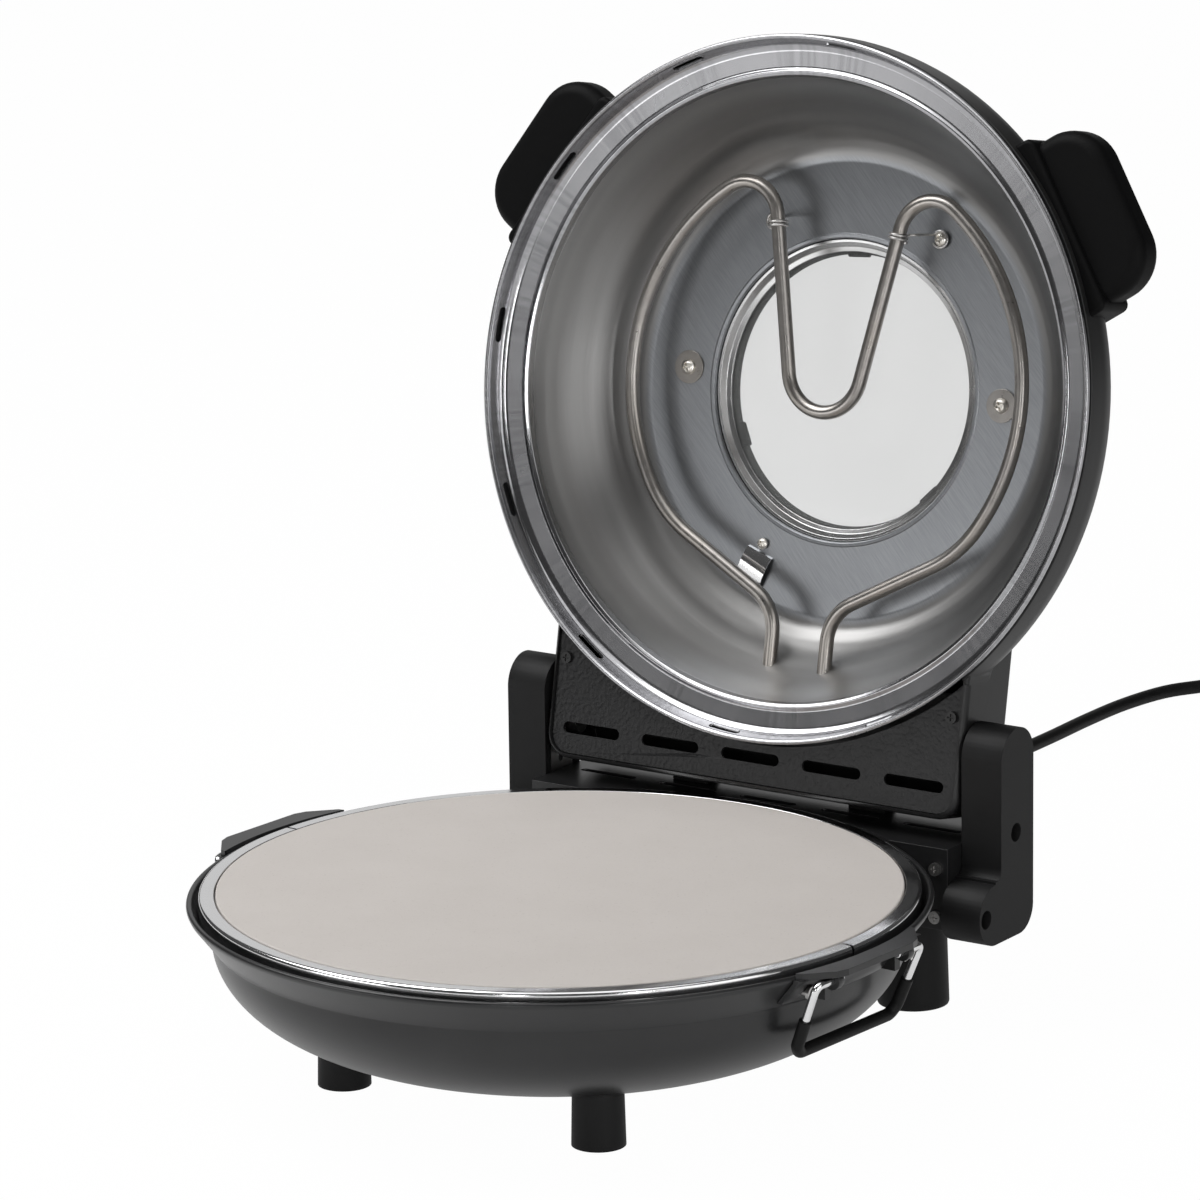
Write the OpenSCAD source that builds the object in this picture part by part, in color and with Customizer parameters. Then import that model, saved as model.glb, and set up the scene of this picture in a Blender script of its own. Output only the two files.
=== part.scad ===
// Countertop pizza maker with a round baking stone and a hinged lid.
// The lid is drawn standing open. X runs along the hinge, -Y is the front
// and +Z is up. Z = 0 is the table top and all lengths are millimetres.

/* [Baking stone and base] */
// Diameter of the baking stone
stone_d = 310.4; // [290:0.1:330]
// Thickness of the baking stone
stone_t = 10.2; // [8:0.1:14]
// Height of the stone's top above the table
stone_top = 90.5; // [80:0.1:110]
// Radius of the rolled lip round the base
rim_r = 168.5; // [160:0.1:180]
// Depth of the base bowl below the stone's top
bowl_depth = 70; // [60:0.5:80]
// Sheet thickness of the base bowl
bowl_wall_t = 2; // [1.2:0.1:3]
// How far the handles sit round from the hinge line, in degrees
base_turn = -4; // [-10:0.5:10]
// Y position of the stone's centre
bowl_y = -51.7; // [-60:0.1:-40]

/* [Hinge] */
// Y distance from the stone's centre to the hinge line
hinge_y = 171.6; // [165:0.1:185]
// Height of the hinge line above the stone's top
hinge_h = 20.9; // [15:0.1:30]
// How far the lid stands open from closed, in degrees
open_angle = 100.8; // [90:0.1:110]
// Radius of the hinge pins
pin_r = 5; // [4:0.1:6]
// Inner face of each hinge arm from the middle
arm_in = 116; // [114:0.1:120]
// Outer face of each hinge arm from the middle
arm_out = 137.3; // [130:0.1:145]

/* [Lid] */
// Outer radius of the lid's rolled steel edge
lid_r = 165.3; // [160:0.1:170]
// Radius of the window hole in the lid's steel liner
window_r = 72.4; // [60:0.1:80]
// Depth of the lid's flat inner plate behind its edge
plate_h = 59.9; // [50:0.1:70]
// Number of vent slots round the lid's edge
vents = 12; // [8:1:16]
// Half width of the lid's neck
neck_x = 114.5; // [110:0.1:115]
// Thickness of the lid's neck
neck_t = 46; // [40:0.5:50]

/* [Heating elements] */
// Radius of the element tubes
tube_r = 3.4; // [2.5:0.1:4.5]
// Depth of the upper element behind the lid's edge
element_h = 41.5; // [35:0.5:50]
// Radius of the upper element's outer sweep
sweep_r = 107.5; // [100:0.5:112]
// Radius of the lower element's ring
lower_r = 95; // [80:1:110]

/* [Handles and cord] */
// Radius of the bail wire
wire_r = 1.9; // [1.5:0.1:2.5]
// Inward lean of the bails at rest, in degrees
bail_lean = 22; // [0:1:30]
// Radius of the mains cord
cord_r = 3.6; // [2.8:0.1:4]

/* [Hidden] */
$fn = 144;
S = stone_top;
rim_z = S + 1;
hinge_z = S + hinge_h;
stone_r = stone_d / 2;
ring_r = rim_r - 5.5;

// Bowl wall: a quarter ellipse from the flat bottom up to the lip.
flat_r = 70;
lip_w = 11;
shoulder_z = 20;
wall_a = rim_r - lip_w - flat_r;
wall_b = bowl_depth - shoulder_z;
wall_z = S - bowl_depth + wall_b;
steps = [0:6:90];
back_steps = [90:-6:0];

// Upper element: leg, bend and sweep centres in the lid's own plane.
u_r = 20;
u_c = [0, 9.5];
leg_lean = 11;
leg_dir = [sin(leg_lean), cos(leg_lean)];
leg_side = [cos(leg_lean), -sin(leg_lean)];
leg_0 = u_c + u_r * [cos(leg_lean), -sin(leg_lean)];
bend_r = 18;
sweep_c = [0, 3];
bend_base = leg_0 + bend_r * leg_side - sweep_c;
bend_b = bend_base * leg_dir;
leg_len = -bend_b + sqrt(bend_b * bend_b - bend_base * bend_base + pow(sweep_r - bend_r, 2));
bend_c = leg_0 + bend_r * leg_side + leg_len * leg_dir;
bend_end = atan2(bend_c[1] - sweep_c[1], bend_c[0]);
sweep_end = -33;
hip_r = 60;
hip_c = sweep_c + (sweep_r - hip_r) * [cos(sweep_end), sin(sweep_end)];
hip_end = -61.5;
hip_p = hip_c + hip_r * [cos(hip_end), sin(hip_end)];
run_dir = [sin(hip_end), -cos(hip_end)];
knee_r = 22;
end_x = 15.2;
knee_x = end_x + knee_r;
knee_a = hip_end + 180;
knee_p = [knee_x + knee_r * cos(knee_a), 0];
run_len = (knee_p[0] - hip_p[0]) / run_dir[0];
knee_y = hip_p[1] + run_len * run_dir[1] - knee_r * sin(knee_a);
end_y = -136.5;
pin_y = -150;

// Lower element: ring ends bend out into two straight legs.
low_x = 16;
low_bend = 16;
low_cy = sqrt(pow(lower_r + low_bend, 2) - pow(low_x + low_bend, 2));
low_a = atan2(low_cy, low_x + low_bend);
low_z = S - 26;

// Grips: how far each stands round from the free edge, in degrees.
grip_a = 57;

// Hinge box.
box_x = 115.7;
box_y0 = 146;
box_y1 = 204;
box_top = S - 3;
box_low = S - 42;
foot_f = [73, -67];
foot_b = [78, 177.5];

// Bails, in the turned frame of the bowl.
bail_x = rim_r + 3;
bail_z = S - 7.6;
bail_h = 36;

// Cord route from the gland to the coil, from the bowl's centre at floor zero.
gland_x = -97;
gland_z = S - 28.5;
route = [
    [-97, 225, 62], [-97, 232, 62], [-97, 243, 62], [-97, 262, 58.5], [-97, 281, 48.5],
    [-97, 297, 33], [-97, 313, 17.5], [-97, 332, 7.6], [-97, 354, 4.1],
    [-97, 394, 3.9], [-97, 446, 3.9], [-97, 502, 3.9], [-97, 558, 3.9],
    [-97, 606, 3.9], [-98, 648, 3.9], [-97, 686, 3.9], [-91, 720, 3.9],
    [-79, 742, 3.9], [-65, 764, 3.9], [-52, 784, 3.9]
];
coil_c = [-12.8, 758.5];
coil_r = 38;
plug_off = [22, 46.3];
spans = 3;
sides = 10;

// Moves a piece from the bowl's own centre to its place on the table.
module at_base() {
    translate([0, bowl_y, 0]) children();
}

// The bowl's frame, turned a little round from the hinge line.
module at_turn() {
    at_base() rotate([0, 0, base_turn]) children();
}

// The lid's plane: X along the hinge, Y towards the free edge, Z into the lid.
module at_lid() {
    at_base()
        translate([0, hinge_y, hinge_z])
            rotate([-open_angle, 0, 0])
                translate([0, -hinge_y, rim_z - hinge_z])
                    mirror([0, 1, 0])
                        children();
}

// Both sides of a piece that is the same left and right.
module both() {
    children();
    mirror([1, 0, 0]) children();
}

function flat(p) = [p[0], p[1], 0];

// A bent length of round bar in the XY plane.
module bent(c, r, a0, a1, w) {
    translate([c[0], c[1], 0])
        rotate([0, 0, a0])
            rotate_extrude(angle = a1 - a0)
                translate([r, 0]) circle(r = w);
}

// A straight round bar from one point to another.
module bar(p, q, w) {
    d = q - p;
    l = norm(d);
    translate(p)
        rotate([0, acos(d[2] / l), atan2(d[1], d[0])])
            cylinder(r = w, h = l);
}

// A slot with round ends, lying along X and cut through in Z.
module slot(l, w, h) {
    translate([-l / 2 + w / 2, 0, 0]) cylinder(d = w, h = h);
    translate([l / 2 - w / 2, 0, 0]) cylinder(d = w, h = h);
    translate([-l / 2 + w / 2, -w / 2, 0]) cube([l - w, w, h]);
}

// A pan head screw standing on its head's underside, point down.
module screw(head_r, head_h, shank_r, shank_l) {
    difference() {
        cylinder(r = head_r, h = head_h);
        translate([-head_r * 0.6, -0.35, head_h - 0.7]) cube([head_r * 1.2, 0.7, 1]);
        translate([-0.35, -head_r * 0.6, head_h - 0.7]) cube([0.7, head_r * 1.2, 1]);
    }
    translate([0, 0, -shank_l]) cylinder(r = shank_r, h = shank_l);
}

// Outline of the bowl's wall, grown by g.
function wall_pts(g, list) = [for (a = list)
    [flat_r + (wall_a + g) * sin(a), wall_z - (wall_b + g) * cos(a)]];

// Everything inside the bowl's outer skin, grown by g.
module bowl_solid(g) {
    rotate_extrude()
        polygon(concat([[0, S - bowl_depth - g]], wall_pts(g, steps),
            [[rim_r + g, S - 6.2], [rim_r + g, S + 40], [0, S + 40]]));
}

// Pressed steel bowl that carries everything in the base.
module base_bowl() {
    color([0.13, 0.13, 0.13]) at_base() difference() {
        rotate_extrude() {
            polygon(concat([[0, S - bowl_depth]], wall_pts(0, steps),
                [[rim_r - 0.3, S - 6.1], [rim_r - 2.5, S - 5.3], [rim_r - 4.6, S - 9.2]],
                wall_pts(-bowl_wall_t, back_steps),
                [[0, S - bowl_depth + bowl_wall_t]]));
            translate([rim_r - 1.4, S - 4.9]) circle(r = 1.4);
        }
        both() translate([low_x, rim_r - 25, low_z]) rotate([-90, 0, 0]) cylinder(r = 6.1, h = 20);
        rotate([0, 0, base_turn]) both() {
            translate([foot_f[0], foot_f[1], 5]) cylinder(r = 2.05, h = 40);
            for (y = [-35, 35])
                translate([140, y, S - 12.5]) rotate([0, 90, 0]) cylinder(r = 1.55, h = 30);
        }
    }
}

// Polished ring and the dish under the stone, one spun sheet.
module stone_pan() {
    color([0.8, 0.8, 0.8]) at_base() difference() {
        rotate_extrude() polygon([
            [stone_r + 0.7, S - stone_t], [stone_r + 0.7, S - 0.8], [stone_r + 1.2, S - 0.3],
            [ring_r - 2, S - 0.3], [ring_r - 0.6, S - 0.9], [ring_r, S - 2.3],
            [ring_r, S - 9.6], [ring_r - 1, S - 9.6], [ring_r - 1, S - 2.6],
            [ring_r - 1.4, S - 1.7], [ring_r - 2.2, S - 1.3], [stone_r + 2, S - 1.3],
            [stone_r + 1.7, S - 1.7], [stone_r + 1.7, S - stone_t - 1],
            [stone_r - 7.8, S - stone_t - 1], [stone_r - 11.4, S - stone_t - 4.6],
            [stone_r - 26.4, S - 34.8], [stone_r - 32.8, S - 38], [0, S - 38], [0, S - 37],
            [stone_r - 33.2, S - 37], [stone_r - 27.2, S - 34],
            [stone_r - 12.2, S - stone_t - 3.8], [stone_r - 8.2, S - stone_t]]);
        both() translate([low_x, stone_r - 35, low_z]) rotate([-90, 0, 0])
            cylinder(r = 4.2, h = 24);
        rotate([0, 0, base_turn]) both() translate([stone_r, -0.7, S - 1.6])
            cube([10, 1.4, 3]);
    }
}

// Cordierite baking stone lying on the pan's ledge.
module pizza_stone() {
    color([0.78, 0.75, 0.73]) at_base()
        translate([0, 0, S - stone_t]) cylinder(r = stone_r, h = stone_t);
}

// Tubular heating element under the stone.
module lower_element() {
    color([0.55, 0.55, 0.55]) at_base() translate([0, 0, low_z]) {
        bent([0, 0], lower_r, 179.7 - low_a, 360.3 + low_a, tube_r - 0.03);
        both() {
            bent([low_x + low_bend, low_cy], low_bend, 180, 180 + low_a, tube_r);
            bar([low_x, low_cy - 0.5, 0], [low_x, rim_r + 3.5, 0], tube_r - 0.03);
        }
    }
}

// Ceramic bushes where the lower element leaves the bowl.
module lower_bushes() {
    color([0.9, 0.88, 0.82]) at_base() both()
        translate([low_x, rim_r - 18.5, low_z]) rotate([-90, 0, 0]) difference() {
            cylinder(r = 6, h = 14);
            translate([0, 0, -1]) cylinder(r = tube_r + 0.05, h = 16);
        }
}

// Three steel saddles that hold the lower element off the dish.
module lower_rests() {
    color([0.7, 0.7, 0.7]) at_base() for (a = [0, 180, 270]) rotate([0, 0, a])
        difference() {
            translate([lower_r - 6, -4, S - 37]) cube([12, 8, 11]);
            rotate([0, 0, -20]) translate([0, 0, low_z])
                rotate_extrude(angle = 40) translate([lower_r, 0]) circle(r = tube_r + 0.05);
        }
}

// Snap disc cut-out clipped under the dish, with two blades.
module thermal_cutout() {
    color([0.85, 0.84, 0.8]) at_base() translate([40, 40, S - 38]) {
        translate([0, 0, -1.5]) cylinder(r = 11, h = 1.5);
        translate([0, 0, -9]) cylinder(r = 8, h = 7.5);
        for (x = [-4.4, 3.6]) translate([x, -3, -16]) cube([0.8, 6, 7]);
    }
}

// Moulded foot under the front of the bowl.
module front_foot(s) {
    color([0.1, 0.1, 0.1]) at_turn() difference() {
        translate([s * foot_f[0], foot_f[1], 0]) cylinder(r1 = 12.2, r2 = 11.4, h = 34);
        bowl_solid(0.05);
        translate([s * foot_f[0], foot_f[1], -1]) cylinder(r = 5, h = 9);
        translate([s * foot_f[0], foot_f[1], 0]) cylinder(r = 2.05, h = 40);
    }
}

module foot_front_left() {
    front_foot(-1);
}

module foot_front_right() {
    front_foot(1);
}

// Taller flared foot under the hinge box.
module rear_foot(s) {
    color([0.1, 0.1, 0.1]) at_base() translate([s * foot_b[0], foot_b[1], 0]) difference() {
        cylinder(r1 = 17, r2 = 15.5, h = box_low - 0.05);
        translate([0, 0, -1]) cylinder(r = 5, h = 31);
        cylinder(r = 2.05, h = 60);
    }
}

module foot_rear_left() {
    rear_foot(-1);
}

module foot_rear_right() {
    rear_foot(1);
}

// Screws that hold the four feet, driven up from below.
module foot_screws() {
    color([0.7, 0.7, 0.7]) {
        at_turn() both() translate([foot_f[0], foot_f[1], 8]) mirror([0, 0, 1])
            screw(4, 2.5, 2, 22);
        at_base() both() translate([foot_b[0], foot_b[1], 30]) mirror([0, 0, 1])
            screw(4, 2.5, 2, 24);
    }
}

// Steel box behind the bowl: feet, arms and wiring join it.
module hinge_box() {
    color([0.1, 0.1, 0.1]) at_base() difference() {
        translate([-box_x, box_y0, box_low])
            cube([2 * box_x, box_y1 - box_y0, box_top - box_low]);
        bowl_solid(0.25);
        difference() {
            translate([2.2 - box_x, box_y0 + 2.2, box_low - 1])
                cube([2 * box_x - 4.4, box_y1 - box_y0 - 4.4, box_top - box_low - 1]);
            bowl_solid(2.6);
        }
        for (k = [-2:2]) translate([k * 45.3, 174.2, box_top - 4]) slot(31, 3.8, 6);
        both() {
            translate([low_x, 140, low_z]) rotate([-90, 0, 0]) cylinder(r = 6.1, h = 30);
            for (z = [S - 12, S - 34])
                translate([100, 171, z]) rotate([0, 90, 0]) cylinder(r = 2.05, h = 20);
            for (z = [S - 13, S - 36])
                translate([109.5, 140, z]) rotate([-90, 0, 0]) cylinder(r = 1.55, h = 10);
        }
        translate([gland_x, 195, gland_z]) rotate([-90, 0, 0]) cylinder(r = 8, h = 12);
    }
}

// Bottom plate that closes the hinge box and takes the rear feet.
module hinge_box_plate() {
    color([0.2, 0.2, 0.2]) at_base() difference() {
        translate([2.4 - box_x, box_y0 + 2.4, box_low])
            cube([2 * box_x - 4.8, box_y1 - box_y0 - 4.8, 2]);
        bowl_solid(2.7);
        both() translate([foot_b[0], foot_b[1], box_low - 1]) cylinder(r = 2.05, h = 4);
    }
}

// Screws in the box's front flange.
module box_screws() {
    color([0.75, 0.75, 0.75]) at_base() both() for (z = [S - 13, S - 36])
        translate([109.5, box_y0, z]) rotate([90, 0, 0]) screw(3, 1.9, 1.5, 5);
}

// Ceramic terminal block on the bottom plate.
module terminal_block() {
    color([0.9, 0.88, 0.84]) at_base() translate([-20, 182, box_low + 2]) difference() {
        cube([40, 14, 13]);
        for (x = [7, 20, 33]) translate([x, 7, 8]) cylinder(r = 2.4, h = 6);
    }
}

// Rubber pads under the neck that the open lid leans on.
module stop_pads() {
    color([0.08, 0.08, 0.08]) at_base() both() difference() {
        translate([39.3, 182.5, box_top]) cube([20, 11, 8]);
        translate([35, hinge_y, hinge_z]) rotate([-open_angle, 0, 0])
            translate([0, -5, -40]) cube([30, 21.75, 90]);
    }
}

// Side outline of a hinge arm, Y across and Z up.
module arm_outline() {
    translate([158, S - 33]) square([29, 70.5]);
    translate([172.5, S + 37.5]) circle(r = 14.5);
    translate([153, S - 32.6]) circle(r = 14.4);
    translate([153, S - 47]) square([21.5, 30]);
    translate([174.5, S - 34.5]) circle(r = 12.5);
    difference() {
        translate([152, S - 19]) square([6.05, 6.6]);
        translate([152, S - 12.4]) circle(r = 6);
    }
}

// Side outline of the steel plate inside an arm, grown by g.
module plate_outline(g) {
    translate([hinge_y, hinge_z]) circle(r = 11 + g);
    translate([163 - g, S - 40 - g]) square([18 + 2 * g, 40 + hinge_h + g]);
    translate([143 - g, S - 41 - g]) square([38 + 2 * g, 16 + 2 * g]);
    translate([144.6, S - 32.8]) circle(r = 4.5 + g);
}

// Stands a side outline up at x, t thick.
module side_on(x, t) {
    translate([x, 0, 0]) rotate([90, 0, 90]) linear_extrude(t) children();
}

// A bore along X through a side outline's point.
module x_bore(x, y, z, r, l) {
    translate([x, y, z]) rotate([0, 90, 0]) cylinder(r = r, h = l);
}

// Moulded arm that hides the hinge plate, with two screw wells.
module arm() {
    color([0.11, 0.11, 0.11]) difference() {
        side_on(arm_in, arm_out - arm_in) arm_outline();
        side_on(arm_in - 1, 4.3) plate_outline(0.4);
        x_bore(arm_in, hinge_y, hinge_z, 7.8, 6.3);
        x_bore(arm_in, hinge_y, hinge_z, pin_r + 0.05, 10.3);
        for (z = [S - 12, S - 34]) x_bore(arm_in, 171, z, 4.3, 6.3);
        for (p = [[171.3, S + 2.5], [144.6, S - 32.8]]) {
            x_bore(arm_in, p[0], p[1], 2.05, 20);
            x_bore(129, p[0], p[1], 4.4, 10);
        }
    }
}

module arm_left() {
    at_base() mirror([1, 0, 0]) arm();
}

module arm_right() {
    at_base() arm();
}

// Steel plate that carries a hinge pin and bolts to the box.
module hinge_plate() {
    color([0.6, 0.6, 0.6]) difference() {
        side_on(arm_in + 0.2, 3) plate_outline(0);
        x_bore(arm_in, hinge_y, hinge_z, pin_r + 0.02, 6);
        for (p = [[171.3, S + 2.5], [144.6, S - 32.8], [171, S - 12], [171, S - 34]])
            x_bore(arm_in, p[0], p[1], 2.03, 6);
    }
}

module hinge_plate_left() {
    at_base() mirror([1, 0, 0]) hinge_plate();
}

module hinge_plate_right() {
    at_base() hinge_plate();
}

// Long screws in the wells on the arms' outer faces.
module arm_screws() {
    color([0.15, 0.15, 0.15]) at_base() both()
        for (p = [[171.3, S + 2.5], [144.6, S - 32.8]])
            translate([129, p[0], p[1]]) rotate([0, 90, 0]) screw(3.9, 2.4, 2, 12.5);
}

// Screws from each hinge plate into the box's side wall.
module plate_screws() {
    color([0.7, 0.7, 0.7]) at_base() both() for (z = [S - 12, S - 34])
        translate([arm_in + 3.2, 171, z]) rotate([0, 90, 0]) screw(3.9, 2.4, 2, 9);
}

// Steel pin with a collar, fixed in the plate, that the lid turns on.
module hinge_pin() {
    color([0.75, 0.75, 0.75]) {
        x_bore(104, hinge_y, hinge_z, pin_r, 22);
        x_bore(arm_in + 3.2, hinge_y, hinge_z, 7.5, 2.6);
    }
}

module hinge_pin_left() {
    at_base() mirror([1, 0, 0]) hinge_pin();
}

module hinge_pin_right() {
    at_base() hinge_pin();
}

// Handle bracket: a flat flange on the lip with two lugs for the bail.
module bracket() {
    color([0.12, 0.12, 0.12]) difference() {
        translate([rim_r, 0, S]) {
            translate([0, 0, -5]) linear_extrude(3)
                polygon([[-10.5, -44], [-2.5, -42], [2.5, -36], [7.5, -30], [9.5, -24],
                    [9.5, 24], [7.5, 30], [2.5, 36], [-2.5, 42], [-10.5, 44]]);
            translate([-16.5, -44, -17]) cube([16, 88, 12.1]);
            for (y = [-28, 24]) {
                translate([-2.5, y, -9]) cube([8, 4, 5]);
                translate([bail_x - rim_r, y, bail_z - S]) rotate([-90, 0, 0])
                    cylinder(r = 4.2, h = 4);
            }
        }
        bowl_solid(0.1);
        difference() {
            translate([rim_r - 18.5, -50, S - 20]) cube([30, 100, 14.9]);
            bowl_solid(2.6);
            for (y = [-28, 24]) translate([rim_r - 18.5, y, S - 20]) cube([40, 4, 16]);
        }
        for (y = [-29, 23]) translate([bail_x, y, bail_z]) rotate([-90, 0, 0])
            cylinder(r = wire_r + 0.05, h = 6);
        for (y = [-35, 35])
            translate([rim_r - 18.5, y, S - 12.5]) rotate([0, 90, 0]) cylinder(r = 1.55, h = 30);
    }
}

module bracket_left() {
    at_turn() mirror([1, 0, 0]) bracket();
}

module bracket_right() {
    at_turn() bracket();
}

// Screws that fix each bracket's skirt to the bowl.
module bracket_screws() {
    color([0.75, 0.75, 0.75]) at_turn() both() for (y = [-35, 35])
        translate([rim_r - 3.9, y, S - 12.5]) rotate([0, 90, 0]) screw(3, 1.8, 1.5, 9);
}

// Places a bail at its lean, hung from the bracket's lugs.
module bail_place() {
    translate([bail_x, 0, bail_z]) rotate([0, bail_lean, 0]) children();
}

// Chromed wire bail. The short ends lie in the lugs.
module bail_wire() {
    color([0.8, 0.8, 0.8]) bail_place() for (s = [-1, 1]) {
        bar([0, s * 20, 0], [0, s * 36, 0], wire_r);
        bar([0, s * 36, 0], [0, s * 38.6, -3], wire_r);
        bar([0, s * 38.6, -3], [0, s * 37, -bail_h + 5], wire_r);
        bar([0, s * 37, -bail_h + 5], [0, s * 33, -bail_h], wire_r);
        bar([0, 0, -bail_h], [0, s * 33, -bail_h], wire_r);
        translate([0, s * 36, 0]) sphere(r = wire_r + 0.01);
        translate([0, s * 38.6, -3]) sphere(r = wire_r + 0.01);
        translate([0, s * 37, -bail_h + 5]) sphere(r = wire_r + 0.01);
        translate([0, s * 33, -bail_h]) sphere(r = wire_r + 0.01);
    }
}

module bail_wire_left() {
    at_turn() mirror([1, 0, 0]) bail_wire();
}

module bail_wire_right() {
    at_turn() bail_wire();
}

// Black grip tube shrunk over the lower part of a bail.
module bail_sleeve() {
    color([0.08, 0.08, 0.08]) bail_place() difference() {
        union() for (s = [-1, 1]) {
            bar([0, s * 37.75, -18], [0, s * 37, -bail_h + 5], wire_r + 1);
            bar([0, s * 37, -bail_h + 5], [0, s * 33, -bail_h], wire_r + 1);
            bar([0, 0, -bail_h], [0, s * 33, -bail_h], wire_r + 1);
            translate([0, s * 37, -bail_h + 5]) sphere(r = wire_r + 1.05);
            translate([0, s * 33, -bail_h]) sphere(r = wire_r + 1.05);
        }
        for (s = [-1, 1]) {
            bar([0, s * 38.6, -3], [0, s * 37, -bail_h + 5], wire_r + 0.02);
            bar([0, s * 37, -bail_h + 5], [0, s * 33, -bail_h], wire_r + 0.02);
            bar([0, 0, -bail_h], [0, s * 33, -bail_h], wire_r + 0.02);
            translate([0, s * 37, -bail_h + 5]) sphere(r = wire_r + 0.06);
            translate([0, s * 33, -bail_h]) sphere(r = wire_r + 0.06);
        }
    }
}

module bail_sleeve_left() {
    at_turn() mirror([1, 0, 0]) bail_sleeve();
}

module bail_sleeve_right() {
    at_turn() bail_sleeve();
}

// Outside of the lid's dome, in the lid's plane.
module dome_out() {
    rotate_extrude() polygon([[0, 4], [lid_r + 3.3, 4], [lid_r + 3.3, 6], [lid_r + 2.3, 11.5],
        [lid_r - 0.3, 17], [lid_r - 4.8, 24], [lid_r - 11.8, 33], [lid_r - 20.8, plate_h - 16.9],
        [lid_r - 31.8, plate_h - 7.4], [lid_r - 45.3, plate_h + 1.4],
        [lid_r - 60.3, plate_h + 7.5], [window_r + 19.6, plate_h + 10.5],
        [window_r + 9.6, plate_h + 11.5], [0, plate_h + 11.5]]);
}

// Inside of the lid's dome.
module dome_in() {
    rotate_extrude() polygon([[0, 0], [lid_r + 0.9, 0], [lid_r + 0.9, 6], [lid_r - 0.1, 11],
        [lid_r - 2.5, 16], [lid_r - 6.8, 22.7], [lid_r - 13.6, 31.3],
        [lid_r - 22.4, plate_h - 18.8], [lid_r - 33.1, plate_h - 9.5],
        [lid_r - 46.3, plate_h - 0.9], [lid_r - 60.9, plate_h + 5.1],
        [window_r + 19.2, plate_h + 8.1], [window_r + 9.6, plate_h + 9.3],
        [0, plate_h + 9.3]]);
}

// The neck's solid, from the dome back past the hinge line.
module neck_out() {
    intersection() {
        translate([0, 0, 5]) linear_extrude(neck_t - 5) {
            translate([-neck_x, -176]) square([2 * neck_x, 86]);
            translate([12 - neck_x, -188]) square([2 * neck_x - 24, 90]);
            for (s = [-1, 1]) translate([s * (neck_x - 12), -176]) circle(r = 12);
        }
        translate([-neck_x - 1, 0, 0]) rotate([90, 0, 90]) linear_extrude(2 * neck_x + 2) {
            translate([-180, 5]) square([90, neck_t - 5]);
            translate([-188, 9]) square([90, neck_t - 17]);
            translate([-184, 9]) circle(r = 4);
            translate([-180, neck_t - 8]) circle(r = 8);
            translate([-184, 5]) square([10, 5]);
        }
    }
    for (s = [-1, 1]) translate([0, 0, 5]) linear_extrude(20) difference() {
        polygon([[s * 112, -104], [s * 119.8, -110.5], [s * 116, -124.1], [s * 112, -124.1]]);
        translate([s * 134.5, -124.1]) circle(r = 20);
    }
}

// The hollow inside the neck.
module neck_in() {
    translate([0, 0, 4]) linear_extrude(neck_t - 6.4) {
        translate([2.4 - neck_x, -176]) square([2 * neck_x - 4.8, 80]);
        translate([12 - neck_x, -185.6]) square([2 * neck_x - 24, 80]);
        for (s = [-1, 1]) translate([s * (neck_x - 12), -176]) circle(r = 9.6);
    }
}

// Black moulded lid cover and its neck, with bosses for the hinge pins.
module lid_cover() {
    color([0.12, 0.12, 0.12]) at_lid() difference() {
        union() {
            difference() {
                union() {
                    dome_out();
                    neck_out();
                }
                dome_in();
                neck_in();
            }
            both() difference() {
                x_bore(106.5, -hinge_y, hinge_z - rim_z, 9, 6.5);
                translate([100, -200, 0]) cube([20, 30 - 2, 8.8]);
            }
        }
        both() x_bore(100, -hinge_y, hinge_z - rim_z, pin_r + 0.06, 20);
        translate([0, 0, plate_h]) cylinder(r = window_r - 0.9, h = 20);
        translate([90, -143, 40]) cylinder(r = 3.4, h = 10);
        for (x = [-90, -72]) translate([x, -143, 40]) cylinder(r = 4.05, h = 10);
    }
}

// Steel liner of the lid: slotted edge, flat ring, deep wall and plate.
liner = [[lid_r - 1.2, 1.3], [lid_r - 4.3, 8.6], [lid_r - 5.1, 10.0], [lid_r - 14.9, 12.6],
    [lid_r - 16.1, 13.8], [lid_r - 19.3, 20], [lid_r - 24.8, 30],
    [lid_r - 33, plate_h - 18.9], [lid_r - 40.8, plate_h - 9.7],
    [lid_r - 46.3, plate_h - 4.5], [lid_r - 51.3, plate_h - 1.3],
    [lid_r - 55.8, plate_h], [window_r, plate_h]];

module lid_liner() {
    color([0.72, 0.72, 0.72]) at_lid() difference() {
        union() {
            rotate_extrude() polygon(concat(liner, [for (i = [12:-1:0]) liner[i] + [0.7, 0.9]]));
            rotate_extrude() translate([lid_r - 1, 1]) circle(r = 1);
            rotate_extrude() translate([lid_r - 1, 1.2]) square([0.9, 7.3]);
            rotate_extrude() translate([window_r + 0.9, plate_h + 0.7]) circle(r = 1.2);
        }
        for (k = [0:vents - 1]) rotate([0, 0, -5 - k * 360 / vents])
            translate([lid_r - 8.3, 0, 5]) rotate([0, 90, 0]) rotate([0, 0, 90])
                slot(17, 3.4, 12);
        both() {
            translate([end_x, -124, element_h]) rotate([90, 0, 0]) cylinder(r = 3.7, h = 16);
            translate([46, 76, 50]) cylinder(r = 1.55, h = 20);
            translate([87, 2, 50]) cylinder(r = 2.05, h = 20);
        }
        translate([-36, -79.5, 50]) cylinder(r = 1.55, h = 20);
    }
}

// Polished ring that holds the glass from inside.
module window_ring() {
    color([0.85, 0.85, 0.85]) at_lid() rotate_extrude()
        polygon([[window_r - 0.8, plate_h + 2.3], [window_r - 1, plate_h + 6.3],
            [window_r - 6.4, plate_h + 6.3], [window_r - 6.4, plate_h + 5.3],
            [window_r - 2.2, plate_h + 2.3]]);
}

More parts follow.
